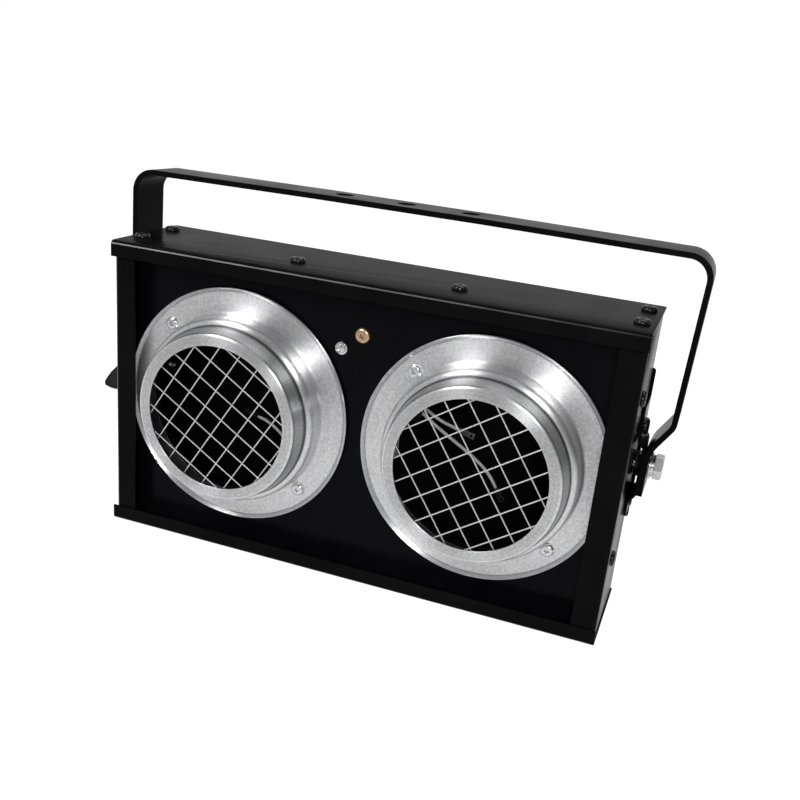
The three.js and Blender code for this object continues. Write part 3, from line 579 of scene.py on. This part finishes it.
def foldedRing(side):
    corners = ring["profile"]
    shape = spunShape([corner[:2] for corner in corners], ring["steps"])
    for radius, height, setback in foldSetbacks(corners):
        roundLoop(shape, radius, height, setback, ring["foldSegments"])
    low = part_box("ring_" + side)[0]
    centre = middleOf("ring_" + side)
    height = corners[-1][1] + ring["sheet"] / 2
    aim(shape, Vector((centre.x, low.y + height * mm, centre.z)), frontward)
    piece = newPiece("spunRing_" + side, shape)
    thicken(piece, ring["sheet"])
    material = makeSpunAluminium("spunAluminium_" + side, spunLook, centre)
    return finishPiece(piece, ["ring_" + side], "housing", material, ring["edge"])


for side in ("left", "right"):
    foldedRing(side)
print("blinder: rings spun")


# Wire grilles: two layers of straight wires welded to a round rim wire
grille = {
    "pitch": 16,
    "wire": 1,
    "rimWire": 2.4,
    "layerGap": 0.05,
    "layerShares": (0.5, -0.5),
    "wireSides": 12,
    "rimSteps": 96,
    "left": {"degrees": (-32, 58.25), "starts": (1.9, -4.1)},
    "right": {"degrees": (33.75, -56.25), "starts": (-0.5, 7.3)},
}


def rimHoop(shape, rimRadius):
    across = Matrix.Translation((rimRadius * mm, 0, 0)) @ Matrix.Rotation(quarterTurn, 4, "X")
    wireRadius = grille["rimWire"] / 2 * mm
    section = bmesh.ops.create_circle(shape, segments=grille["wireSides"], radius=wireRadius,
                                      matrix=across)
    bmesh.ops.spin(shape, geom=section["verts"] + shape.edges[:], cent=(0, 0, 0), axis=axisZ,
                   angle=fullTurn, steps=grille["rimSteps"], use_merge=True)


def wireLayer(shape, rimRadius, degrees, start, depth):
    rows = math.ceil(rimRadius / grille["pitch"])
    radius = grille["wire"] / 2 * mm
    for row in range(-rows, rows + 1):
        offset = row * grille["pitch"] + start
        if abs(offset) > rimRadius - grille["rimWire"]:
            continue
        chord = 2 * math.sqrt(rimRadius ** 2 - offset ** 2)
        laid = (Matrix.Rotation(math.radians(degrees), 4, "Z")
                @ Matrix.Translation((0, offset * mm, depth * mm)) @ Matrix.Rotation(quarterTurn, 4, "Y"))
        bmesh.ops.create_cone(shape, cap_ends=True, segments=grille["wireSides"], depth=chord * mm,
                              radius1=radius, radius2=radius, matrix=laid)


def weldedGrille(side):
    low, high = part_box("grille_" + side)
    rimRadius = (high.x - low.x) / 2 / mm - grille["rimWire"] / 2
    shape = bmesh.new()
    rimHoop(shape, rimRadius)
    apart = grille["wire"] + grille["layerGap"]
    laid = grille[side]
    for degrees, start, share in zip(laid["degrees"], laid["starts"], grille["layerShares"]):
        wireLayer(shape, rimRadius, degrees, start, share * apart)
    closeUp(shape)
    upright = Matrix.Translation(middleOf("grille_" + side)) @ Matrix.Rotation(quarterTurn, 4, "X")
    bmesh.ops.transform(shape, verts=shape.verts, matrix=upright)
    piece = newPiece("wireGrille_" + side, shape)
    return finishPiece(piece, ["grille_" + side], "housing", whiteWire)


for side in ("left", "right"):
    weldedGrille(side)
print("blinder: grilles welded")


# Yoke: one flat bar folded about the pivots, with heights above them and reaches from its middle
yokeBar = {
    "width": 37.4,
    "thickness": 4.2,
    "top": {"left": 160.7, "middle": 161.5, "right": 159.1},
    "bowRadius": 9000,
    "boxReach": 226.5,
    "topReach": {"left": 224.2, "right": 227.1},
    "crankReach": {"left": 223.7, "right": 222.6},
    "pivotReach": 206.2,
    "crankLow": 14.8,
    "crankHigh": 37,
    "tail": 18.7,
    "cornerFold": 15.9,
    "crankFold": 9,
    "footFold": 26,
    "foldSegments": 12,
    "holeRadius": 7,
    "holePlaces": (-50, 0, 50),
    "pivotRadius": 5.4,
    "holeSteps": 48,
    "drill": 8,
    "edge": 0.5,
    "tiltDegrees": 1.685,
}


def yokePlace():
    pivot = middleOf("tilt_washer")
    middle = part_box("yoke")[1].x - yokeBar["boxReach"] * mm
    return Vector((middle, pivot.y, pivot.z))


def yokeCorners():
    # (across, height, fold) of the middle of the sheet, from the foot of the left leg to that of the right
    sheet = yokeBar["thickness"] / 2
    leftLeg, rightLeg = [[
        (sign * (yokeBar["topReach"][side] - sheet), yokeBar["top"][side] - sheet, yokeBar["cornerFold"]),
        (sign * (yokeBar["crankReach"][side] - sheet), yokeBar["crankHigh"], yokeBar["crankFold"]),
        (sign * yokeBar["pivotReach"], yokeBar["crankLow"], yokeBar["footFold"]),
        (sign * yokeBar["pivotReach"], -yokeBar["tail"], 0),
    ] for side, sign in (("left", -1), ("right", 1))]
    return [*leftLeg[::-1], (0, yokeBar["top"]["middle"] - sheet, yokeBar["bowRadius"]), *rightLeg]


def yokeDrill(radius, place, direction):
    tool = prism(yokeBar["holeSteps"], radius, -yokeBar["drill"], yokeBar["drill"])
    aim(tool, place * mm, direction)
    return newPiece("drill", tool)


def foldedYoke():
    half = yokeBar["width"] / 2
    corners = yokeCorners()
    shape = bmesh.new()
    points = [shape.verts.new((corner[0] * mm, -half * mm, corner[1] * mm)) for corner in corners]
    edges = [shape.edges.new(pair) for pair in zip(points, points[1:])]
    shiftGrown(shape, bmesh.ops.extrude_edge_only(shape, edges=edges), axisY * yokeBar["width"] * mm)
    for across, height, setback in foldSetbacks(corners):
        seam = edgesWith(shape, lambda place: isNear(place.x, across) and isNear(place.z, height))
        roundEdges(shape, seam, setback, yokeBar["foldSegments"])
    piece = newPiece("yokeBar", shape)
    thicken(piece, yokeBar["thickness"], even=True)
    tools = [yokeDrill(yokeBar["holeRadius"], Vector((across, 0, yokeBar["top"]["middle"])), axisZ)
             for across in yokeBar["holePlaces"]]
    tools += [yokeDrill(yokeBar["pivotRadius"], Vector((sign * yokeBar["pivotReach"], 0, 0)), axisX)
              for sign in (-1, 1)]
    carve(piece, tools)
    tilted = Matrix.Rotation(-math.radians(yokeBar["tiltDegrees"]), 4, "X")
    piece.data.transform(Matrix.Translation(yokePlace()) @ tilted)
    return finishPiece(piece, ["yoke"], "yoke", blackCoat, yokeBar["edge"])


foldedYoke()
print("blinder: yoke folded")


# Screws: a turned head with a cross recess, its size read from the node that it replaces
screwShape = {
    "roundShare": 0.82,
    "recessShare": 0.5,
    "recessWidthShare": 0.17,
    "recessDepthShare": 0.62,
    "taperShare": 0.45,
    "segments": 6,
    "steps": 48,
    "rollDegrees": 37,
    "edge": 0.12,
}


def crossRecess(length, width, depth):
    # a square post with an arm drawn out of each side, narrowing downwards
    shape = bmesh.new()
    bmesh.ops.create_cube(shape, size=width, matrix=Matrix.Diagonal((1, 1, 2 * depth / width, 1)))
    for face in [face for face in shape.faces if abs(face.normal.z) < alongShare]:
        outward = face.normal.copy()
        arm = bmesh.ops.extrude_face_region(shape, geom=[face])
        bmesh.ops.delete(shape, geom=[face], context="FACES_ONLY")
        shiftGrown(shape, arm, outward * (length - width) / 2)
    lowest = [vert for vert in shape.verts if vert.co.z < 0]
    bmesh.ops.scale(shape, verts=lowest, vec=(screwShape["taperShare"], screwShape["taperShare"], 1))
    closeUp(shape)
    return newPiece("recess", shape)


def screwSizes(node, direction):
    # head radius, whole length and the place of the crown
    low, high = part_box(node)
    across = axisX if abs(direction.x) < alongShare else axisY
    radius = abs((high - low).dot(across)) / 2
    length = abs((high - low).dot(direction))
    crown = (low + high) / 2 + direction * length / 2
    return radius / mm, length / mm, crown


# name of the piece, start of the node's name, direction, height of the head, radius of the shank,
# width of the head against the node's, material and slot
screwKinds = (
    ("panScrew_", "cover_screw_", axisZ, 2.8, 2, 1, blackSteel, "black_steel"),
    ("panScrew_", "side_screw_left_", -axisX, 2.4, 2, 1, blackSteel, "black_steel"),
    ("panScrew_", "side_screw_right_", axisX, 2.4, 2, 1, blackSteel, "black_steel"),
    ("panScrew_", "ring_screw_", frontward, 2.6, 1.7, 1.12, zincSteel, "zinc_steel"),
    ("panScrew_", "rear_screw_", axisY, 2.2, 1.7, 1, blackSteel, "black_steel"),
    ("panScrew_", "earth_screw", frontward, 3, 2, 1.14, brass, "brass"),
    ("panScrew_", "bracket_screw", axisX, 3.3, 2.4, 1, blackSteel, "black_steel"),
    ("sunkScrew_", "base_screw_", -axisZ, 1.4, 2, 1, blackSteel, "black_steel"),
)


def crossScrew(node, name, kind, turn):
    direction, head, shank, growth, material, slotName = kind
    radius, length, crown = screwSizes(node, direction)
    radius *= growth
    stem = [(0, -length), (shank, -length), (shank, -head)]
    if name == "panScrew_":
        shape = spunShape([*stem, (radius, -head), (radius, 0), (0, 0)], screwShape["steps"])
        roundLoop(shape, radius, 0, head * screwShape["roundShare"], screwShape["segments"])
    else:
        shape = spunShape([*stem, (radius, 0), (0, 0)], screwShape["steps"])
    piece = newPiece(name + node, shape)
    size = 2 * radius * mm
    carve(piece, [crossRecess(size * screwShape["recessShare"], size * screwShape["recessWidthShare"],
                              head * screwShape["recessDepthShare"] * mm)])
    piece.data.transform(standing(crown, direction, math.radians(turn * screwShape["rollDegrees"])))
    return finishPiece(piece, [node], "housing", material, screwShape["edge"])


def allScrews():
    count = 0
    for name, start, *kind in screwKinds:
        for node in sorted(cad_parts):
            if node.startswith(start):
                crossScrew(node, name, kind, count)
                count += 1


allScrews()


# Blind rivets: a domed flange with the broken stem in its middle
rivetShape = {
    "dome": 1.2,
    "well": 1.1,
    # share of the radius and of the dome, from the rim over the flat flange and the collar to the well
    "headShares": ((1, 0.75), (0.9, 0.6), (0.72, 0.45), (0.66, 0.06), (0.58, 0), (0.52, 0.1)),
    "wellShare": 0.5,
    "stemShare": 0.26,
    "stemDropShare": 0.4,
    "shanks": {"panel_rivet": 1.6, "bracket_rivet": 2},
    "steps": 48,
    "edge": 0.08,
}


def blindRivet(node, direction, material):
    radius, length, crown = screwSizes(node, direction)
    shank = rivetShape["shanks"][node]
    dome = rivetShape["dome"]
    depth = rivetShape["well"]
    head = [(radius * width, -dome * drop) for width, drop in rivetShape["headShares"]]
    shape = spunShape([
        (0, -length), (shank, -length), (shank, -dome), (radius, -dome), *head,
        (radius * rivetShape["wellShare"], -depth), (radius * rivetShape["stemShare"], -depth),
        (0, -depth * rivetShape["stemDropShare"])], rivetShape["steps"])
    aim(shape, crown, direction)
    piece = newPiece("rivet_" + node, shape)
    return finishPiece(piece, [node], "housing", material, rivetShape["edge"])


blindRivet("panel_rivet", frontward, zincSteel)
blindRivet("bracket_rivet", axisX, blackSteel)
print("blinder: screws and rivets set")


# Tilt bolt, washers and nuts on the pivot line
tiltParts = {
    "flats": 17,
    "head": 6,
    "chamfer": 1,
    # radii of the bolt and of the holes round it
    "bolt": 4.85,
    "hole": 5.4,
    "springGapDegrees": 20,
    "springSteps": 60,
    "edge": 0.15,
}
hexagonShape = {"sides": 6, "crownShare": 0.97, "slope": 1.2, "spare": 1, "rollDegrees": 30}
hexagonRoll = math.radians(hexagonShape["rollDegrees"])
boreSteps = 48


def chamferedHexagon(flats, low, high, chamferLow, chamferHigh):
    sides = hexagonShape["sides"]
    corner = flats / 2 / math.cos(fullTurn / 2 / sides)
    piece = newPiece("hexagon", prism(sides, corner, low, high))
    clear = corner + hexagonShape["spare"]
    crown = flats / 2 * hexagonShape["crownShare"]
    slope = hexagonShape["slope"]
    profile = [(0, low), (crown if chamferLow else clear, low), (clear, low + slope), (clear, high - slope),
               (crown if chamferHigh else clear, high), (0, high)]
    return carve(piece, [newPiece("chamfer", spunShape(profile))], "INTERSECT")


def boreThrough(radius, low, high):
    spare = hexagonShape["spare"]
    return newPiece("bore", prism(boreSteps, radius, low - spare, high + spare))


def hexBolt():
    low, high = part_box("tilt_bolt")
    middle = middleOf("tilt_bolt")
    length = (high.x - low.x) / mm
    radius = tiltParts["bolt"]
    chamfer = tiltParts["chamfer"]
    inHead = -tiltParts["head"] / 2
    head = chamferedHexagon(tiltParts["flats"], -tiltParts["head"], 0, False, True)
    shank = newPiece("shank", spunShape([
        (0, -length), (radius - chamfer, -length), (radius, -length + chamfer),
        (radius, inHead), (0, inHead)]))
    carve(head, [shank], "UNION")
    head.name = "hexBolt"
    head.data.transform(standing(Vector((high.x, middle.y, middle.z)), axisX, hexagonRoll))
    return finishPiece(head, ["tilt_bolt"], "housing", zincSteel, tiltParts["edge"])


def hexNut(node, material):
    low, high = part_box(node)
    middle = middleOf(node)
    length = (high.x - low.x) / mm
    nut = chamferedHexagon(tiltParts["flats"], -length, 0, True, True)
    carve(nut, [boreThrough(tiltParts["hole"], -length, 0)])
    nut.name = "hexNut_" + node
    nut.data.transform(standing(Vector((high.x, middle.y, middle.z)), axisX, hexagonRoll))
    return finishPiece(nut, [node], "housing", material, tiltParts["edge"])


def flatWasher(node, name, material):
    low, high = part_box(node)
    middle = middleOf(node)
    radius = (high.y - low.y) / 2 / mm
    length = (high.x - low.x) / mm
    hole = tiltParts["hole"]
    shape = spunShape([(hole, 0), (radius, 0), (radius, length), (hole, length), (hole, 0)])
    aim(shape, Vector((low.x, middle.y, middle.z)), axisX)
    piece = newPiece(name, shape)
    return finishPiece(piece, [node], "housing", material, tiltParts["edge"])


def splitWasher():
    low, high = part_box("spring_washer")
    middle = middleOf("spring_washer")
    gap = math.radians(tiltParts["springGapDegrees"])
    radius = (high.z - low.z) / 2
    hole = tiltParts["hole"] * mm
    shape = bmesh.new()
    section = [shape.verts.new((low.x + across, middle.y + out, middle.z)) for across, out in (
        (0, hole), (0, radius), (high.x - low.x, radius), (high.x - low.x, hole))]
    face = shape.faces.new(section)
    bmesh.ops.spin(shape, geom=[face], cent=middle, axis=axisX, angle=fullTurn - gap,
                   steps=tiltParts["springSteps"])
    bmesh.ops.rotate(shape, verts=shape.verts, cent=middle, matrix=Matrix.Rotation(gap / 2, 3, "X"))
    closeUp(shape)
    piece = newPiece("splitWasher", shape)
    return finishPiece(piece, ["spring_washer"], "housing", zincSteel, tiltParts["edge"])


hexBolt()
hexNut("tilt_nut", blackSteel)
hexNut("knob_nut", zincSteel)
flatWasher("tilt_washer", "flatWasher", zincSteel)
flatWasher("pivot_spacer", "pivotSpacer", blackPlastic)
splitWasher()
print("blinder: tilt hardware fitted")


# Wing knob: a moulded hub with two rounded wings on a steel stud
wingKnob = {
    "length": 31,
    "collarRadius": 12,
    "collar": 4,
    "hubRadius": 9,
    "tipRadius": 32,
    "wing": 7,
    "wingRise": 12,
    "tipSlack": 0.1,
    # half of the outline: share of the tip's radius and of the wings' rise
    "wingShares": (
        (0, 0), (0.31, 0.32), (0.6, 0.78), (0.8, 0.97), (0.9, 1), (0.97, 0.88), (1, 0.6), (1, 0),
        (0.94, -0.3), (0.3, -1.4),
    ),
    "softEdge": 1.3,
    "softSegments": 4,
    "cap": 3,
    "capShare": 0.7,
    "edge": 0.5,
    "stud": 4.85,
    "studTip": 1,
    "studEdge": 0.1,
}


def wingDirection(spokes):
    # the solid's wings end in two upright edges, and their middle line is the direction
    farthest = max(spokes, key=lambda spoke: spoke.length)
    nearly = farthest.length - wingKnob["tipSlack"] * mm
    tips = [spoke for spoke in spokes if spoke.length > nearly and spoke.dot(farthest) > 0]
    return sum(tips, Vector()).normalized()


def knobHub():
    length = wingKnob["length"]
    radius = wingKnob["hubRadius"]
    collar = wingKnob["collar"]
    return newPiece("wingKnob", spunShape([
        (0, 0), (wingKnob["collarRadius"], 0), (wingKnob["collarRadius"], collar), (radius, 2 * collar),
        (radius, length - wingKnob["cap"]), (radius * wingKnob["capShare"], length), (0, length)]))


def knobWings():
    shape = bmesh.new()
    right = [(share * wingKnob["tipRadius"], wingKnob["length"] + rise * wingKnob["wingRise"])
             for share, rise in wingKnob["wingShares"]]
    outline = right + [(-across, height) for across, height in reversed(right[1:])]
    face = shape.faces.new([shape.verts.new((across * mm, -wingKnob["wing"] / 2 * mm, height * mm))
                            for across, height in outline])
    shiftGrown(shape, bmesh.ops.extrude_face_region(shape, geom=[face]), axisY * wingKnob["wing"] * mm)
    closeUp(shape)
    rims = [edge for edge in shape.edges if abs(edge.verts[0].co.y - edge.verts[1].co.y) < touchWithin]
    roundEdges(shape, rims, wingKnob["softEdge"], wingKnob["softSegments"])
    return newPiece("wings", shape)


def mouldedKnob():
    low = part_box("tilt_knob")[0]
    pivot = yokePlace()
    seat = low.x / mm + wingKnob["length"] + wingKnob["wingRise"]
    hub = knobHub()
    carve(hub, [knobWings()], "UNION")
    hub.data.transform(standing(Vector((seat * mm, pivot.y, pivot.z)), -axisX))
    # turned about the pivot line as the solid's wings are
    spokes = [Vector((0, vert.co.y - pivot.y, vert.co.z - pivot.z))
              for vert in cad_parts["tilt_knob"].data.vertices]
    wingLine = wingDirection(spokes)
    drawn = (-axisX).to_track_quat("Z", "Y") @ axisX
    turn = math.atan2(drawn.cross(wingLine).x, drawn.dot(wingLine))
    about = Vector((0, pivot.y, pivot.z))
    turned = Matrix.Rotation(turn, 4, "X")
    hub.data.transform(Matrix.Translation(about) @ turned @ Matrix.Translation(-about))
    return finishPiece(hub, ["tilt_knob"], "knob", blackPlastic, wingKnob["edge"])


def knobStud():
    low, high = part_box("tilt_knob")
    pivot = yokePlace()
    seat = low.x + (wingKnob["length"] + wingKnob["wingRise"]) * mm
    reach = (high.x - seat) / mm
    radius = wingKnob["stud"]
    tip = wingKnob["studTip"]
    shape = spunShape([(0, 0), (radius, 0), (radius, reach - tip), (radius - tip, reach), (0, reach)])
    aim(shape, Vector((seat, pivot.y, pivot.z)), axisX)
    piece = newPiece("knobStud", shape)
    return finishPiece(piece, [], "knob", zincSteel, wingKnob["studEdge"])


mouldedKnob()
knobStud()
print("blinder: knob moulded")


# Cable gland: a hexagonal flange on the wall and a domed nut
gland = {
    "gap": 0.3,
    # radii of the thread and of the hole for the cable
    "thread": 9.85,
    "bore": 5,
    "flats": 24,
    "flange": 5,
    "domeFlats": 22,
    "domeHex": 9,
    "domeLength": 19,
    "domeStart": 0.5,
    "domeShares": ((1, 0.25), (0.95, 0.5), (0.84, 0.76)),
    "wall": 1.6,
    "room": 8.3,
    "neckSteps": 64,
    "edge": 0.3,
}


def cableGland():
    low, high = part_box("gland_body")
    centre = middleOf("gland_body")
    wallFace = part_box("body_shell")[1].y
    bodyLow = (low.y - wallFace) / mm
    bodyHigh = (high.y - wallFace) / mm
    body = chamferedHexagon(gland["flats"], gland["gap"], gland["gap"] + gland["flange"], False, True)
    neck = newPiece("neck", prism(gland["neckSteps"], gland["thread"], bodyLow, bodyHigh))
    carve(body, [neck], "UNION")
    carve(body, [boreThrough(gland["bore"], bodyLow, bodyHigh)])
    body.name = "glandBody"
    body.data.transform(standing(Vector((centre.x, wallFace, centre.z)), axisY))
    return finishPiece(body, ["gland_body"], "housing", blackPlastic, gland["edge"])


def glandNut():
    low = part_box("gland_nut")[0]
    centre = middleOf("gland_nut")
    nut = chamferedHexagon(gland["domeFlats"] + gland["wall"], 0, gland["domeHex"], True, True)
    length = gland["domeLength"]
    crown = length - gland["domeHex"]
    radius = gland["domeFlats"] / 2
    rounded = [(radius * width, gland["domeHex"] + crown * height) for width, height in gland["domeShares"]]
    dome = spunShape([(0, gland["domeStart"]), (radius, gland["domeStart"]), *rounded,
                      (gland["bore"] + gland["wall"], length), (0, length)])
    carve(nut, [newPiece("dome", dome)], "UNION")
    roomRadius = gland["thread"] + gland["gap"]
    room = newPiece("room", prism(boreSteps, roomRadius, -hexagonShape["spare"], gland["room"]))
    carve(nut, [room, boreThrough(gland["bore"], 0, length)])
    nut.name = "glandNut"
    nut.data.transform(standing(Vector((centre.x, low.y, centre.z)), axisY))
    return finishPiece(nut, ["gland_nut"], "housing", blackPlastic, gland["edge"])


cableGland()
glandNut()
print("blinder: gland fitted")


# Wiring: the solids keep their shapes under softer edges
wiring = {
    "sharpDegrees": 40,
    "terminalEdge": 0.1,
    "blockEdge": 0.3,
    "clipSharpDegrees": 80,
    "leadSharpDegrees": 60,
    "leadFaceDegrees": 60,
    "leadShapeDegrees": 180,
    "leadLevels": 2,
}


def dressedSmall(node, material, edge, sharpDegrees=wiring["sharpDegrees"]):
    shape = solidCopy(node)
    joinFlats(shape)
    piece = newPiece(node + "Dressed", shape)
    return finishPiece(piece, [node], "housing", material, edge, sharpDegrees)


def smoothLead(node):
    shape = solidCopy(node)
    joinPoints(shape)
    bmesh.ops.join_triangles(shape, faces=shape.faces,
                             angle_face_threshold=math.radians(wiring["leadFaceDegrees"]),
                             angle_shape_threshold=math.radians(wiring["leadShapeDegrees"]))
    piece = newPiece(node + "Sleeve", shape)
    finishPiece(piece, [node], "housing", sleeve, 0, wiring["leadSharpDegrees"])
    smoothed = piece.modifiers.new("smooth", "SUBSURF")
    smoothed.levels = wiring["leadLevels"]
    smoothed.render_levels = wiring["leadLevels"]
    return piece


for node in sorted(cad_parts):
    if node.startswith("lamp_lead_"):
        smoothLead(node)
    elif node.startswith("lead_terminal_") or node.startswith("lead_clip_"):
        dressedSmall(node, zincSteel, wiring["terminalEdge"])
    elif node.startswith("grille_clip_"):
        dressedSmall(node, zincSteel, 0, wiring["clipSharpDegrees"])
dressedSmall("terminal_block", ceramic, wiring["blockEdge"])
print("blinder: wiring dressed")


# Plain floor, soft lamps and a surround that the camera sees white and the metal sees darker
studio = {
    "floorSize": 60000,
    "floorDrop": 0.4,
    "floorColour": (0.3, 0.3, 0.3),
    "floorRoughness": 0.9,
    # strength of the surround: as soft light, for the camera, and as metal mirrors it, dark side first
    "surround": 0.42,
    "shown": 1,
    "mirrored": (0.15, 0.54),
    "darkSide": (0.6, -0.8, 0),
    "darkFade": (0.75, -0.1),
    # the floor's own light, and the shares of it that metal mirrors, from these two places
    "floorGlow": 0.9,
    "glowShares": (0.17, 0.62),
    "frontFade": (-700, -120),
    # name, place, diameter and power
    "lamps": (
        ("keyLamp", (-900, -1300, 1500), 700, 18),
        ("topLamp", (300, 500, 1900), 1300, 10),
        ("fillLamp", (560, -1500, 750), 300, 10),
    ),
    "aim": (0, 0, 110),
}


def makeSurround():
    world = bpy.data.worlds.new("surround")
    world.use_nodes = True
    bpy.context.scene.world = world
    background = world.node_tree.nodes["Background"]
    background.inputs["Color"].default_value = (1, 1, 1, 1)
    rays = addNode(world, "ShaderNodeLightPath").outputs
    direction = addNode(world, "ShaderNodeTexCoord").outputs["Generated"]
    towardsDark = vectorMaths(world, "DOT_PRODUCT", direction, studio["darkSide"])
    mirrored = mapRange(world, towardsDark, studio["darkFade"], studio["mirrored"],
                        interpolation_type="SMOOTHSTEP")
    direct = maths(world, "MAXIMUM", maths(world, "MAXIMUM", rays["Is Camera Ray"], rays["Is Glossy Ray"]),
                   rays["Is Transmission Ray"])
    strength = addNode(world, "ShaderNodeMix")
    strength.inputs["A"].default_value = studio["surround"]
    link(world, direct, strength.inputs["Factor"])
    link(world, mirrored, strength.inputs["B"])
    shown = maths(world, "MULTIPLY", rays["Is Camera Ray"], studio["shown"])
    brightest = maths(world, "MAXIMUM", strength.outputs["Result"], shown)
    link(world, brightest, background.inputs["Strength"])


def makeFloor():
    shape = bmesh.new()
    bmesh.ops.create_grid(shape, x_segments=1, y_segments=1, size=studio["floorSize"] / 2 * mm)
    bmesh.ops.translate(shape, verts=shape.verts, vec=(0, 0, -studio["floorDrop"] * mm))
    floor = newPiece("floor", shape)
    paint = {"colour": studio["floorColour"], "roughness": studio["floorRoughness"], "specular": 0}
    material, shader = newMaterial("floorPaint", paint)
    floor.data.materials.append(material)
    rays = addNode(material, "ShaderNodeLightPath").outputs
    reach = [end * mm for end in studio["frontFade"]]
    backward = sidesOf(material, objectPlace(material))["Y"]
    mirrored = maths(material, "MULTIPLY",
                     maths(material, "MAXIMUM", rays["Is Glossy Ray"], rays["Is Transmission Ray"]),
                     mapRange(material, backward, reach, studio["glowShares"]))
    seen = maths(material, "MAXIMUM", rays["Is Camera Ray"], mirrored)
    glow = maths(material, "MULTIPLY", seen, studio["floorGlow"])
    shader.inputs["Emission Color"].default_value = (1, 1, 1, 1)
    link(material, glow, shader.inputs["Emission Strength"])


def makeLamps():
    for name, place, size, power in studio["lamps"]:
        light = bpy.data.lights.new(name, "AREA")
        light.shape = "DISK"
        light.size = size * mm
        light.energy = power
        lamp = bpy.data.objects.new(name, light)
        bpy.context.collection.objects.link(lamp)
        away = Vector(place) - Vector(studio["aim"])
        lamp.matrix_world = standing(Vector(place) * mm, away * mm)


makeSurround()
makeFloor()
makeLamps()
bpy.context.scene.view_settings.view_transform = "Standard"
print("blinder: studio lit")
